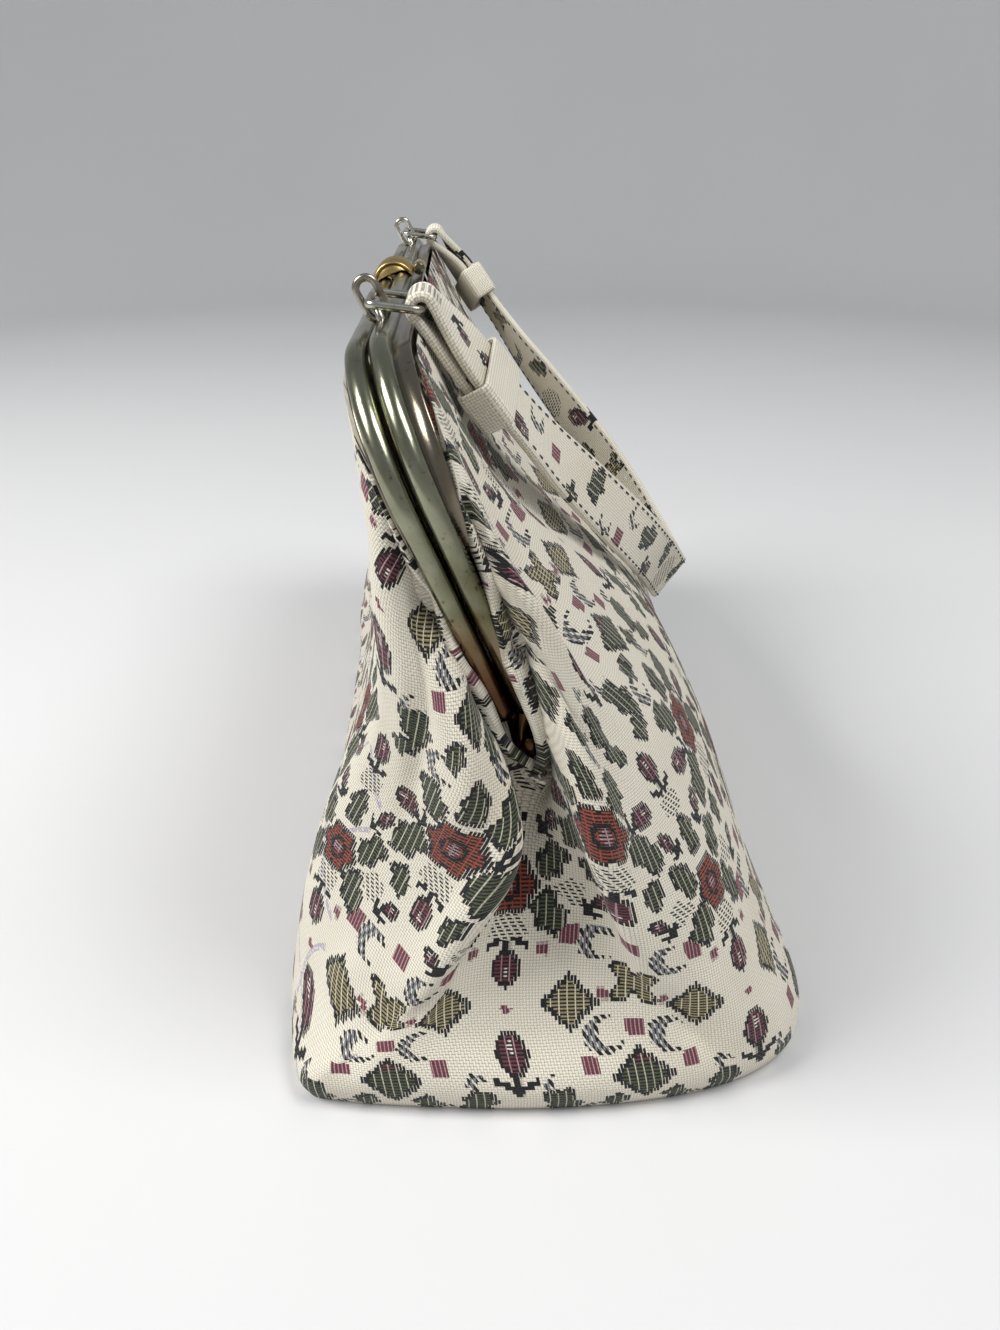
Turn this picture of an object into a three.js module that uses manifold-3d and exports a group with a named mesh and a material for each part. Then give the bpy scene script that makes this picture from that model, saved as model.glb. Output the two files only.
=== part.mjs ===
// Tapestry frame bag, closed and standing on its base, with its strap handle laid over the back.
// Millimetres. +X is the bag's length, -Y its front, +Y its back, +Z up.
// The origin is the middle of the base, on the surface that the bag stands on.

import * as THREE from 'three';
import * as BufferGeometryUtils from 'three/addons/utils/BufferGeometryUtils.js';
import Module from 'manifold-3d';

const wasm = await Module();
wasm.setup();

// Driving sizes of the bag
const HALF_LENGTH = 138;
const HALF_WIDTH = 59;
const HEIGHT = 155;
const CLOTH = 2.0;
const PIECE_GAP = 0.3;

// Driving sizes of the frame: two U-shaped halves, hinged at the ends of their arms
const HINGE_X = 115.5;
const HINGE_Y = -5;
const HINGE_Z = 82;
const FRAME_LEAN = THREE.MathUtils.degToRad(21.8);
const ARM_X = 120.3;
const ARM_LENGTH = 53;
const RAIL_HEIGHT = 77;
const CORNER_WIDTH = 26;
const BEAD_RADIUS = 2.1;
const BEAD_GAP = 0.5;
const FLANGE_THICKNESS = 0.9;
const FRONT_FLANGE = 0.8;
const BACK_FLANGE = 3.0;
const ARM_FLANGE = 0.6;
const HINGE_EYE_RADIUS = 2.6;
const HINGE_PLATE = 1.4;
const HINGE_PLATE_GAP = 0.4;
const RIVET_RADIUS = 1.0;

// Driving sizes of the handle and its wire fittings
const RING_X = 79;
const RING_WIRE = 0.75;
const RING_BEND = 2.0;
const RING_SPAN = 8.0;
const RING_LEAN = THREE.MathUtils.degToRad(27.5);
const LINK_WIRE = 0.8;
const LINK_HALF_LENGTH = 8.8;
const LINK_IN_RING = 4.2;
const LINK_CORNER = 1.6;
const LINK_REACH = 9.8;
const LINK_DROP = THREE.MathUtils.degToRad(7);
const LUG_WIRE = 0.8;
const LUG_BEND = 2.9;
const STRAP_WIDTH = 15;
const STRAP_THICKNESS = 2.0;
const STRAP_TAIL = 25;
const STRAP_DROP = 114;
const KEEPER_LENGTH = 10;
const KEEPER_WALL = 1.2;
const KEEPER_AT = 21;

// Driving sizes of the clasp
const CLASP_LENGTH = 14;
const CLASP_WALL = 0.8;
const CLASP_PIN_RADIUS = 0.6;
const CLASP_KNUCKLE_RADIUS = 1.5;
const CLASP_KNUCKLE_LENGTH = 8;
const CLASP_EAR = 1.2;
const CLASP_CLEARANCE = 0.45;
const CLASP_PIN_RISE = 0.9;
const CLASP_PIN_INSET = 0.15;

// Colours, as the photograph shows them
const LOOKS = {
  cloth: { color: 0xd9d0bb, roughness: 0.9, metalness: 0 },
  strap: { color: 0xd6ccb4, roughness: 0.9, metalness: 0 },
  keeper: { color: 0xded5c0, roughness: 0.9, metalness: 0 },
  frame: { color: 0xa9a587, roughness: 0.32, metalness: 1 },
  wire: { color: 0x9a9a8e, roughness: 0.3, metalness: 1 },
  clasp: { color: 0xc9a85c, roughness: 0.3, metalness: 1 },
};

const HALF_GAP = BEAD_GAP / 2;
const BEAD_OUT = HALF_GAP + BEAD_RADIUS;
const FLANGE_FOOT = -BEAD_RADIUS;
const FLANGE_TOP = FLANGE_FOOT + FLANGE_THICKNESS;
const X_AXIS = new THREE.Vector3(1, 0, 0);
const FRAME_ACROSS = new THREE.Vector3(0, Math.cos(FRAME_LEAN), Math.sin(FRAME_LEAN));
const FRAME_UP = new THREE.Vector3(0, -Math.sin(FRAME_LEAN), Math.cos(FRAME_LEAN));
const HINGE = new THREE.Vector3(0, HINGE_Y, HINGE_Z);

// A place given by its distance along the bag, across the leaning frame and up it from the hinge
function framePoint(along, across, up) {
  return HINGE.clone()
    .addScaledVector(X_AXIS, along)
    .addScaledVector(FRAME_ACROSS, across)
    .addScaledVector(FRAME_UP, up);
}

// A closed mesh with only its places left, its shared corners merged
function bareOf(geometry) {
  const bare = geometry.clone();
  bare.deleteAttribute('normal');
  bare.deleteAttribute('uv');
  return BufferGeometryUtils.mergeVertices(bare, 1e-4);
}

// A closed mesh as a solid that can be joined and cut
function toSolid(geometry) {
  const merged = bareOf(geometry);
  const mesh = new wasm.Mesh({
    numProp: 3,
    vertProperties: Float32Array.from(merged.attributes.position.array),
    triVerts: Uint32Array.from(merged.index.array),
  });
  return new wasm.Manifold(mesh);
}

// A solid back as geometry
function toGeometry(solid) {
  const mesh = solid.getMesh();
  const geometry = new THREE.BufferGeometry();
  geometry.setAttribute('position', new THREE.BufferAttribute(Float32Array.from(mesh.vertProperties), 3));
  geometry.setIndex(new THREE.BufferAttribute(Uint32Array.from(mesh.triVerts), 1));
  geometry.computeVertexNormals();
  return geometry;
}

// Geometry from rings of points: every ring has as many points, and the ends are closed by fans
// around their middle points. When closed is true the last ring joins the first instead.
function skin(rings, closed) {
  const count = rings[0].length;
  const points = rings.flat();
  const faces = [];
  const last = closed ? rings.length : rings.length - 1;
  for (let i = 0; i < last; i += 1) {
    const here = i * count;
    const next = ((i + 1) % rings.length) * count;
    for (let j = 0; j < count; j += 1) {
      const k = (j + 1) % count;
      faces.push(here + j, here + k, next + k);
      faces.push(here + j, next + k, next + j);
    }
  }
  if (!closed) {
    const ends = [[0, rings[0], true], [(rings.length - 1) * count, rings.at(-1), false]];
    ends.forEach(([start, ring, first]) => {
      const middle = new THREE.Vector3();
      ring.forEach((point) => middle.addScaledVector(point, 1 / count));
      const apex = points.push(middle) - 1;
      for (let j = 0; j < count; j += 1) {
        const k = (j + 1) % count;
        faces.push(...(first ? [apex, start + k, start + j] : [apex, start + j, start + k]));
      }
    });
  }
  const geometry = new THREE.BufferGeometry().setFromPoints(points);
  geometry.setIndex(faces);
  return facingOut(geometry);
}

// The same geometry with its faces pointing out, whichever way its rings ran
function facingOut(geometry) {
  const place = geometry.attributes.position;
  const index = geometry.index.array;
  const corner = [new THREE.Vector3(), new THREE.Vector3(), new THREE.Vector3()];
  let volume = 0;
  for (let i = 0; i < index.length; i += 3) {
    corner.forEach((point, j) => point.fromBufferAttribute(place, index[i + j]));
    volume += corner[0].dot(corner[1].clone().cross(corner[2]));
  }
  if (volume < 0) {
    for (let i = 0; i < index.length; i += 3) {
      [index[i], index[i + 1]] = [index[i + 1], index[i]];
    }
  }
  geometry.computeVertexNormals();
  return geometry;
}

// A smooth curve through values at uneven knots, for one number or one vector at a time
function throughPoints(points, knots, at) {
  const end = points.length - 1;
  let i = 0;
  while (i < end - 1 && at > knots[i + 1]) {
    i += 1;
  }
  const slope = (a, b) => points[b].clone().sub(points[a]).divideScalar(knots[b] - knots[a]);
  const tangent = (n) => {
    if (n === 0) {
      return slope(0, 1);
    }
    if (n === end) {
      return slope(end - 1, end);
    }
    const before = knots[n] - knots[n - 1];
    const after = knots[n + 1] - knots[n];
    return slope(n, n + 1).multiplyScalar(before)
      .addScaledVector(slope(n - 1, n), after)
      .divideScalar(before + after);
  };
  const span = knots[i + 1] - knots[i];
  const u = (at - knots[i]) / span;
  return points[i].clone().multiplyScalar(2 * u ** 3 - 3 * u ** 2 + 1)
    .addScaledVector(tangent(i), (u ** 3 - 2 * u ** 2 + u) * span)
    .addScaledVector(points[i + 1], 3 * u ** 2 - 2 * u ** 3)
    .addScaledVector(tangent(i + 1), (u ** 3 - u ** 2) * span);
}

// One half of the U, from the hinge (share 0) up the arm and round the corner to the rail's middle
// (share 1): its place along the bag and up the frame, and the way out of the U there
const CORNER_HEIGHT = RAIL_HEIGHT - ARM_LENGTH;
const STRAIGHT_X = ARM_X - CORNER_WIDTH;
const CORNER_LENGTH = (CORNER_WIDTH + CORNER_HEIGHT) * Math.PI / 4;
const HALF_U = ARM_LENGTH + CORNER_LENGTH + STRAIGHT_X;

function alongU(share) {
  const run = share * HALF_U;
  if (run <= ARM_LENGTH) {
    const rise = run / ARM_LENGTH;
    const slant = new THREE.Vector2(ARM_LENGTH, HINGE_X - ARM_X).normalize();
    return { x: HINGE_X + (ARM_X - HINGE_X) * rise, up: run, out: slant };
  }
  if (run <= ARM_LENGTH + CORNER_LENGTH) {
    const turn = (run - ARM_LENGTH) / CORNER_LENGTH * Math.PI / 2;
    const out = new THREE.Vector2(Math.cos(turn) * CORNER_HEIGHT, Math.sin(turn) * CORNER_WIDTH);
    return {
      x: STRAIGHT_X + CORNER_WIDTH * Math.cos(turn),
      up: ARM_LENGTH + CORNER_HEIGHT * Math.sin(turn),
      out: out.normalize(),
    };
  }
  const left = HALF_U - run;
  return { x: left, up: RAIL_HEIGHT, out: new THREE.Vector2(0, 1) };
}

// How far the flange stands out beside the bead: wide along the rail, narrow down the arms
const FLANGE_NARROW_AT = 0.14;
const FLANGE_WIDE_AT = 0.36;

function flangeWidth(share, side) {
  if (side < 0) {
    return FRONT_FLANGE;
  }
  return ARM_FLANGE + (BACK_FLANGE - ARM_FLANGE)
    * THREE.MathUtils.smoothstep(share, FLANGE_NARROW_AT, FLANGE_WIDE_AT);
}

// The cross-section of a frame half: a round bead with a flat flange at its foot
const BEAD_STEPS = 9;

function frameSection(share, side) {
  const section = [];
  const start = -Math.PI / 2;
  const sweep = 3 * Math.PI / 2 + Math.asin(-FLANGE_TOP / BEAD_RADIUS);
  for (let i = 0; i <= BEAD_STEPS; i += 1) {
    const angle = start - sweep * i / BEAD_STEPS;
    section.push([BEAD_OUT + BEAD_RADIUS * Math.cos(angle), BEAD_RADIUS * Math.sin(angle)]);
  }
  const edge = BEAD_OUT + BEAD_RADIUS + flangeWidth(share, side);
  section.push([edge, FLANGE_TOP]);
  section.push([edge, FLANGE_FOOT]);
  return section.map(([across, out]) => [across * side, out]);
}

// The bead and flange of one frame half, swept from hinge to hinge
const ARM_FOOT_SHARE = 8 / HALF_U;
const ARM_CUTS = 4;
const CORNER_CUTS = 9;

function halfShares() {
  const armEnd = ARM_LENGTH / HALF_U;
  const cornerEnd = (ARM_LENGTH + CORNER_LENGTH) / HALF_U;
  const shares = [];
  for (let i = 0; i < ARM_CUTS; i += 1) {
    shares.push(ARM_FOOT_SHARE + (armEnd - ARM_FOOT_SHARE) * i / ARM_CUTS);
  }
  for (let i = 0; i <= CORNER_CUTS; i += 1) {
    shares.push(armEnd + (cornerEnd - armEnd) * i / CORNER_CUTS);
  }
  return shares;
}

function sweepFrame(side) {
  const near = halfShares().map((share) => [share, 1]);
  const far = halfShares().reverse().map((share) => [share, -1]);
  const rings = [...near, ...far].map(([share, end]) => {
    const spot = alongU(share);
    return frameSection(share, side).map(([across, out]) => framePoint(
      end * (spot.x + spot.out.x * out),
      across,
      spot.up + spot.out.y * out,
    ));
  });
  return toSolid(skin(rings, false));
}

// The flat plate at an arm's foot, with an eye for the rivet, cut from a plain outline
const NECK_TOP = 11;
const NECK_HALF = 1.5;

function hingePlate(side, end) {
  const outline = new THREE.Shape();
  outline.moveTo(side * (BEAD_OUT + NECK_HALF), NECK_TOP);
  outline.lineTo(side * (BEAD_OUT - NECK_HALF), NECK_TOP);
  outline.lineTo(-side * HINGE_EYE_RADIUS, 0);
  outline.absarc(0, 0, HINGE_EYE_RADIUS, side > 0 ? Math.PI : 0, side > 0 ? 2 * Math.PI : -Math.PI, side < 0);
  outline.closePath();
  const eye = new THREE.Path();
  eye.absarc(0, 0, RIVET_RADIUS + PIECE_GAP, 0, 2 * Math.PI, false);
  outline.holes.push(eye);
  const plate = new THREE.ExtrudeGeometry(outline, { depth: HINGE_PLATE, bevelEnabled: false, curveSegments: 8 });
  const layer = side * (HINGE_PLATE + HINGE_PLATE_GAP) / 2;
  const middle = end * (HINGE_X + layer);
  const place = new THREE.Matrix4().makeBasis(FRAME_ACROSS, FRAME_UP, X_AXIS);
  place.setPosition(framePoint(middle - HINGE_PLATE / 2, 0, 0));
  return toSolid(plate.applyMatrix4(place));
}

// Rings of a round wire around points on a closed flat loop, whose plane has the given normal
const WIRE_SIDES = 8;

function wireRings(points, normal, radius) {
  return points.map((point, i) => {
    const next = points[(i + 1) % points.length];
    const before = points[(i + points.length - 1) % points.length];
    const forward = next.clone().sub(before).normalize();
    const side = forward.clone().cross(normal).normalize();
    return Array.from({ length: WIRE_SIDES }, (_, j) => {
      const angle = j / WIRE_SIDES * 2 * Math.PI;
      return point.clone()
        .addScaledVector(side, radius * Math.cos(angle))
        .addScaledVector(normal, radius * Math.sin(angle));
    });
  });
}

// A point on a flat loop made of a rectangle with round corners, walked round in equal parts
function roundedLoop(halfLong, halfShort, corner, cornerCuts) {
  const points = [];
  const centres = [[1, 1], [-1, 1], [-1, -1], [1, -1]];
  centres.forEach(([a, b], quarter) => {
    for (let i = 0; i <= cornerCuts; i += 1) {
      const angle = (quarter + i / cornerCuts) * Math.PI / 2;
      points.push([
        a * (halfLong - corner) + corner * Math.cos(angle),
        b * (halfShort - corner) + corner * Math.sin(angle),
      ]);
    }
  });
  return points;
}

// The lug that carries a ring: half a wire loop standing on the back bead
const LUG_CUTS = 8;
const BEAD_TOP = RAIL_HEIGHT + BEAD_RADIUS;

function ringLug(end) {
  const points = [];
  for (let i = 0; i <= LUG_CUTS; i += 1) {
    const angle = Math.PI * i / LUG_CUTS;
    points.push(framePoint(end * RING_X + LUG_BEND * Math.cos(angle), BEAD_OUT,
      BEAD_TOP - LUG_WIRE + LUG_BEND * Math.sin(angle)));
  }
  const rings = points.map((point, i) => {
    const angle = Math.PI * i / LUG_CUTS;
    const side = X_AXIS.clone().multiplyScalar(Math.cos(angle)).addScaledVector(FRAME_UP, Math.sin(angle));
    return Array.from({ length: WIRE_SIDES }, (_, j) => {
      const turn = j / WIRE_SIDES * 2 * Math.PI;
      return point.clone()
        .addScaledVector(side, LUG_WIRE * Math.cos(turn))
        .addScaledVector(FRAME_ACROSS, LUG_WIRE * Math.sin(turn));
    });
  });
  return toSolid(skin(rings, false));
}

// The notch in the bead under a lug, where the ring's wire passes
const RING_FOOT_UP = BEAD_TOP - PIECE_GAP;
const NOTCH_RADIUS = RING_WIRE + PIECE_GAP;

function ringNotch(end) {
  const notch = new THREE.CylinderGeometry(NOTCH_RADIUS, NOTCH_RADIUS, 4 * BEAD_RADIUS, 16);
  const place = new THREE.Matrix4().makeBasis(X_AXIS, FRAME_ACROSS, FRAME_UP.clone());
  place.setPosition(framePoint(end * RING_X, BEAD_OUT, RING_FOOT_UP));
  return toSolid(notch.applyMatrix4(place));
}

// The clasp's pin and its two ears, soldered to the back flange
const CLASP_PIN_ACROSS = BEAD_OUT + BEAD_RADIUS + BACK_FLANGE - CLASP_PIN_INSET;
const CLASP_PIN_UP = RAIL_HEIGHT + CLASP_PIN_RISE;

function alongX(geometry, along, across, up) {
  const place = new THREE.Matrix4().makeBasis(FRAME_ACROSS, FRAME_UP, X_AXIS);
  place.setPosition(framePoint(along, across, up));
  return geometry.applyMatrix4(place);
}

function claspEars() {
  const earMiddle = CLASP_KNUCKLE_LENGTH / 2 + PIECE_GAP + CLASP_EAR / 2;
  const flangeUp = RAIL_HEIGHT + FLANGE_TOP - FLANGE_THICKNESS / 2;
  const ears = [-1, 1].map((end) => {
    const outline = new THREE.Shape();
    const below = flangeUp - CLASP_PIN_UP;
    outline.moveTo(-CLASP_KNUCKLE_RADIUS, below);
    outline.lineTo(BACK_FLANGE / 5, below);
    outline.lineTo(CLASP_KNUCKLE_RADIUS, 0);
    outline.absarc(0, 0, CLASP_KNUCKLE_RADIUS, 0, Math.PI, false);
    outline.closePath();
    const ear = new THREE.ExtrudeGeometry(outline, { depth: CLASP_EAR, bevelEnabled: false, curveSegments: 8 });
    return toSolid(alongX(ear, end * earMiddle - CLASP_EAR / 2, CLASP_PIN_ACROSS, CLASP_PIN_UP));
  });
  const pinShape = new THREE.Shape().absarc(0, 0, CLASP_PIN_RADIUS, 0, 2 * Math.PI, false);
  const pinLength = 2 * earMiddle;
  const pin = new THREE.ExtrudeGeometry(pinShape, { depth: pinLength, bevelEnabled: false, curveSegments: 6 });
  ears.push(toSolid(alongX(pin, -pinLength / 2, CLASP_PIN_ACROSS, CLASP_PIN_UP)));
  return ears;
}

function frameFront() {
  const parts = [sweepFrame(-1), hingePlate(-1, 1), hingePlate(-1, -1)];
  return toGeometry(wasm.Manifold.union(parts));
}

function frameBack() {
  const bar = wasm.Manifold.union([sweepFrame(1), hingePlate(1, 1), hingePlate(1, -1), ...claspEars()]);
  const notched = bar.subtract(wasm.Manifold.union([ringNotch(1), ringNotch(-1)]));
  return toGeometry(wasm.Manifold.union([notched, ringLug(1), ringLug(-1)]));
}

// A rivet: a shaft with a head at each end, turned about its own axis
const RIVET_HEAD_RADIUS = 2.0;
const RIVET_HEAD = 0.8;

function rivet() {
  const shaft = HINGE_PLATE + HINGE_PLATE_GAP / 2 + PIECE_GAP;
  const profile = [
    new THREE.Vector2(0, -shaft - RIVET_HEAD),
    new THREE.Vector2(RIVET_HEAD_RADIUS / 2, -shaft - RIVET_HEAD),
    new THREE.Vector2(RIVET_HEAD_RADIUS, -shaft - RIVET_HEAD / 2),
    new THREE.Vector2(RIVET_HEAD_RADIUS, -shaft),
    new THREE.Vector2(RIVET_RADIUS, -shaft),
    new THREE.Vector2(RIVET_RADIUS, shaft),
    new THREE.Vector2(RIVET_HEAD_RADIUS, shaft),
    new THREE.Vector2(RIVET_HEAD_RADIUS, shaft + RIVET_HEAD / 2),
    new THREE.Vector2(RIVET_HEAD_RADIUS / 2, shaft + RIVET_HEAD),
    new THREE.Vector2(0, shaft + RIVET_HEAD),
  ];
  return new THREE.LatheGeometry(profile, 12).rotateZ(-Math.PI / 2);
}

// The clasp's lever: a half barrel over both beads, with a knuckle on the pin behind it
const CLASP_INSIDE = BEAD_OUT + BEAD_RADIUS + CLASP_CLEARANCE;
const CLASP_OUTSIDE = CLASP_INSIDE + CLASP_WALL;
const CLASP_FRONT_DROP = THREE.MathUtils.degToRad(6);
const CLASP_BACK_RISE = THREE.MathUtils.degToRad(8);

function claspLever() {
  const shell = new THREE.Shape();
  shell.absarc(0, 0, CLASP_OUTSIDE, CLASP_BACK_RISE, Math.PI + CLASP_FRONT_DROP, false);
  shell.absarc(0, 0, CLASP_INSIDE, Math.PI + CLASP_FRONT_DROP, CLASP_BACK_RISE, true);
  shell.closePath();
  const barrel = new THREE.ExtrudeGeometry(shell, { depth: CLASP_LENGTH, bevelEnabled: false, curveSegments: 22 });
  const knuckleShape = new THREE.Shape().absarc(0, 0, CLASP_KNUCKLE_RADIUS, 0, 2 * Math.PI, false);
  const hole = new THREE.Path().absarc(0, 0, CLASP_PIN_RADIUS + PIECE_GAP, 0, 2 * Math.PI, false);
  knuckleShape.holes.push(hole);
  const knuckle = new THREE.ExtrudeGeometry(knuckleShape, {
    depth: CLASP_KNUCKLE_LENGTH, bevelEnabled: false, curveSegments: 8,
  });
  const neckReach = CLASP_PIN_ACROSS - CLASP_INSIDE - CLASP_WALL / 4;
  const neckHeight = CLASP_KNUCKLE_RADIUS - CLASP_PIN_RADIUS - PIECE_GAP;
  const neck = new THREE.BoxGeometry(neckReach, neckHeight, CLASP_KNUCKLE_LENGTH);
  return toGeometry(wasm.Manifold.union([
    toSolid(alongX(barrel, -CLASP_LENGTH / 2, 0, RAIL_HEIGHT)),
    toSolid(alongX(knuckle, -CLASP_KNUCKLE_LENGTH / 2, CLASP_PIN_ACROSS, CLASP_PIN_UP)),
    toSolid(alongX(neck, 0, CLASP_PIN_ACROSS - neckReach / 2,
      CLASP_PIN_UP + CLASP_KNUCKLE_RADIUS - neckHeight / 2)),
  ]));
}

// The oval wire ring through a lug: its long way leans forward, and its flat side faces along the bag
const RING_UP = new THREE.Vector3(0, -Math.sin(RING_LEAN), Math.cos(RING_LEAN));
const RING_ACROSS = new THREE.Vector3(0, Math.cos(RING_LEAN), Math.sin(RING_LEAN));
const RING_FOOT = framePoint(0, BEAD_OUT, RING_FOOT_UP);

function handleRing(end) {
  const middle = RING_FOOT.clone()
    .addScaledVector(X_AXIS, end * RING_X)
    .addScaledVector(RING_UP, RING_SPAN / 2);
  const points = roundedLoop(RING_SPAN / 2, RING_BEND, RING_BEND - 0.05, 4).map(([up, across]) => middle.clone()
    .addScaledVector(RING_UP, up)
    .addScaledVector(RING_ACROSS, across));
  return skin(wireRings(points, X_AXIS, RING_WIRE), true);
}

// The plane that the strap lies in: down the back of the bag from the links
const STRAP_SLOPE = THREE.MathUtils.degToRad(52.3);
const STRAP_DOWN = new THREE.Vector3(0, Math.cos(STRAP_SLOPE), -Math.sin(STRAP_SLOPE));
const STRAP_OFF = new THREE.Vector3(0, Math.sin(STRAP_SLOPE), Math.cos(STRAP_SLOPE));
const RING_BAR = RING_FOOT.clone().addScaledVector(RING_UP, LINK_IN_RING);
const LINK_BAR = RING_BAR.clone().add(
  new THREE.Vector3(0, Math.cos(LINK_DROP), -Math.sin(LINK_DROP)).multiplyScalar(LINK_REACH),
);
const FOLD_CLEARANCE = 0.4;
const STRAP_BEND = LINK_WIRE + FOLD_CLEARANCE + STRAP_THICKNESS / 2;

// The flat wire link between ring and strap: one bar in the ring, the other in the strap's fold
function strapLink(end) {
  const middle = RING_BAR.clone().add(LINK_BAR).multiplyScalar(0.5).addScaledVector(X_AXIS, end * RING_X);
  const reach = LINK_BAR.clone().sub(RING_BAR);
  const half = reach.length() / 2;
  reach.normalize();
  const normal = reach.clone().cross(X_AXIS).normalize();
  const points = roundedLoop(LINK_HALF_LENGTH, half, LINK_CORNER, 4).map(([along, across]) => middle.clone()
    .addScaledVector(X_AXIS, along)
    .addScaledVector(reach, across));
  return skin(wireRings(points, normal, LINK_WIRE), true);
}

// Where the strap runs, from a link to the middle of its bend. Down is the distance down the back, as
// a share of the strap's drop; along the distance from the bag's middle, as a share of the ring's;
// off the height over the plane of the link's bar, as a share of the strap's thickness; and turn the
// degrees by which the strap's outer edge dips towards the cloth.
const STRAP_ROUTE = [
  { down: 0, along: 1, off: STRAP_BEND / STRAP_THICKNESS, turn: 0 },
  { down: 0.113, along: 0.995, off: 1, turn: 18 },
  { down: 0.205, along: 0.968, off: 0.75, turn: 20 },
  { down: 0.278, along: 0.924, off: 0.7, turn: 22 },
  { down: 0.376, along: 0.835, off: 0.65, turn: 30 },
  { down: 0.492, along: 0.734, off: 0.95, turn: 40 },
  { down: 0.602, along: 0.633, off: 1.25, turn: 47 },
  { down: 0.722, along: 0.506, off: 1.45, turn: 55 },
  { down: 0.859, along: 0.291, off: 1.05, turn: 66 },
  { down: 1, along: 0, off: 0.1, turn: 74 },
];

function strapPlace(down, along, off) {
  return LINK_BAR.clone()
    .addScaledVector(X_AXIS, along)
    .addScaledVector(STRAP_DOWN, down)
    .addScaledVector(STRAP_OFF, off);
}

// The strap's middle line in its own plane, as points for the near half
function strapRun() {
  const rows = STRAP_ROUTE.map((row) => new THREE.Vector3(
    row.along * RING_X, row.down * STRAP_DROP, row.off * STRAP_THICKNESS,
  ));
  const points = [...rows, rows.at(-2).clone().setX(-rows.at(-2).x)];
  const turns = [...STRAP_ROUTE, STRAP_ROUTE.at(-2)].map((row) => new THREE.Vector2(row.turn, 0));
  const knots = [0];
  for (let i = 1; i < points.length; i += 1) {
    knots.push(knots[i - 1] + points[i].distanceTo(points[i - 1]));
  }
  return { points, turns, knots, length: knots[rows.length - 1] };
}

const RUN = strapRun();

function runPoint(distance) {
  return throughPoints(RUN.points, RUN.knots, distance);
}

function runHeading(distance) {
  return runPoint(distance + 0.5).sub(runPoint(distance - 0.5)).normalize();
}

// One cross-section of the strap: a flat band with soft edges, its width lying along flat
const SOFT_EDGE = 0.5;
const EDGE_SHARE = 0.4;

function strapSection(centre, heading, flat) {
  const thick = heading.clone().cross(flat).normalize();
  const half = STRAP_WIDTH / 2;
  const deep = STRAP_THICKNESS / 2;
  const edge = [
    [half, EDGE_SHARE * deep], [half - SOFT_EDGE, deep], [0, deep], [-half + SOFT_EDGE, deep],
    [-half, EDGE_SHARE * deep], [-half, -EDGE_SHARE * deep], [-half + SOFT_EDGE, -deep], [0, -deep],
    [half - SOFT_EDGE, -deep], [half, -EDGE_SHARE * deep],
  ];
  return edge.map(([across, up]) => {
    const local = centre.clone().addScaledVector(flat, across).addScaledVector(thick, up);
    return strapPlace(local.y, local.x, local.z);
  });
}

// The way across the strap, towards the outside of its bend
function outward(distance) {
  const heading = runHeading(distance);
  const turn = THREE.MathUtils.degToRad(throughPoints(RUN.turns, RUN.knots, distance).x);
  const level = new THREE.Vector3(heading.y, -heading.x, 0).normalize();
  return level.applyAxisAngle(heading, turn);
}

// How far the tucked-under tail lies below the strap's upper layer
const LAYER_GAP = 0.4;
const TAIL_OFFSET = STRAP_THICKNESS + LAYER_GAP;
const FOLD_FADE = 7;

function tailDrop(distance) {
  return TAIL_OFFSET + (2 * STRAP_BEND - TAIL_OFFSET) * Math.exp(-distance / FOLD_FADE);
}

// The strap from its tail, round the link's bar and down to the middle of its bend
const FOLD_CUTS = 8;
const TAIL_CUTS = 5;
const RUN_CUTS = 18;

function halfStrap() {
  const sections = [];
  for (let i = 0; i < TAIL_CUTS; i += 1) {
    const distance = STRAP_TAIL * (1 - i / TAIL_CUTS);
    const heading = runHeading(distance);
    const flat = outward(distance);
    const centre = runPoint(distance).addScaledVector(flat.clone().cross(heading), -tailDrop(distance));
    sections.push(strapSection(centre, heading.clone().negate(), flat));
  }
  for (let i = 0; i <= FOLD_CUTS; i += 1) {
    const angle = -Math.PI / 2 - Math.PI * i / FOLD_CUTS;
    const centre = new THREE.Vector3(RING_X, STRAP_BEND * Math.cos(angle), STRAP_BEND * Math.sin(angle));
    const heading = new THREE.Vector3(0, Math.sin(angle), -Math.cos(angle));
    sections.push(strapSection(centre, heading, X_AXIS));
  }
  for (let i = 1; i <= RUN_CUTS; i += 1) {
    const distance = RUN.length * i / RUN_CUTS;
    const heading = runHeading(distance);
    sections.push(strapSection(runPoint(distance), heading, outward(distance)));
  }
  return sections;
}

function mirrored(ring) {
  return ring.map((point) => new THREE.Vector3(-point.x, point.y, point.z));
}

function handleStrap() {
  const near = halfStrap();
  const far = near.slice(0, -1).reverse().map(mirrored);
  return skin([...near, ...far], false);
}

// The band round both layers of the strap near each end
const KEEPER_FIT = 0.5;

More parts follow.
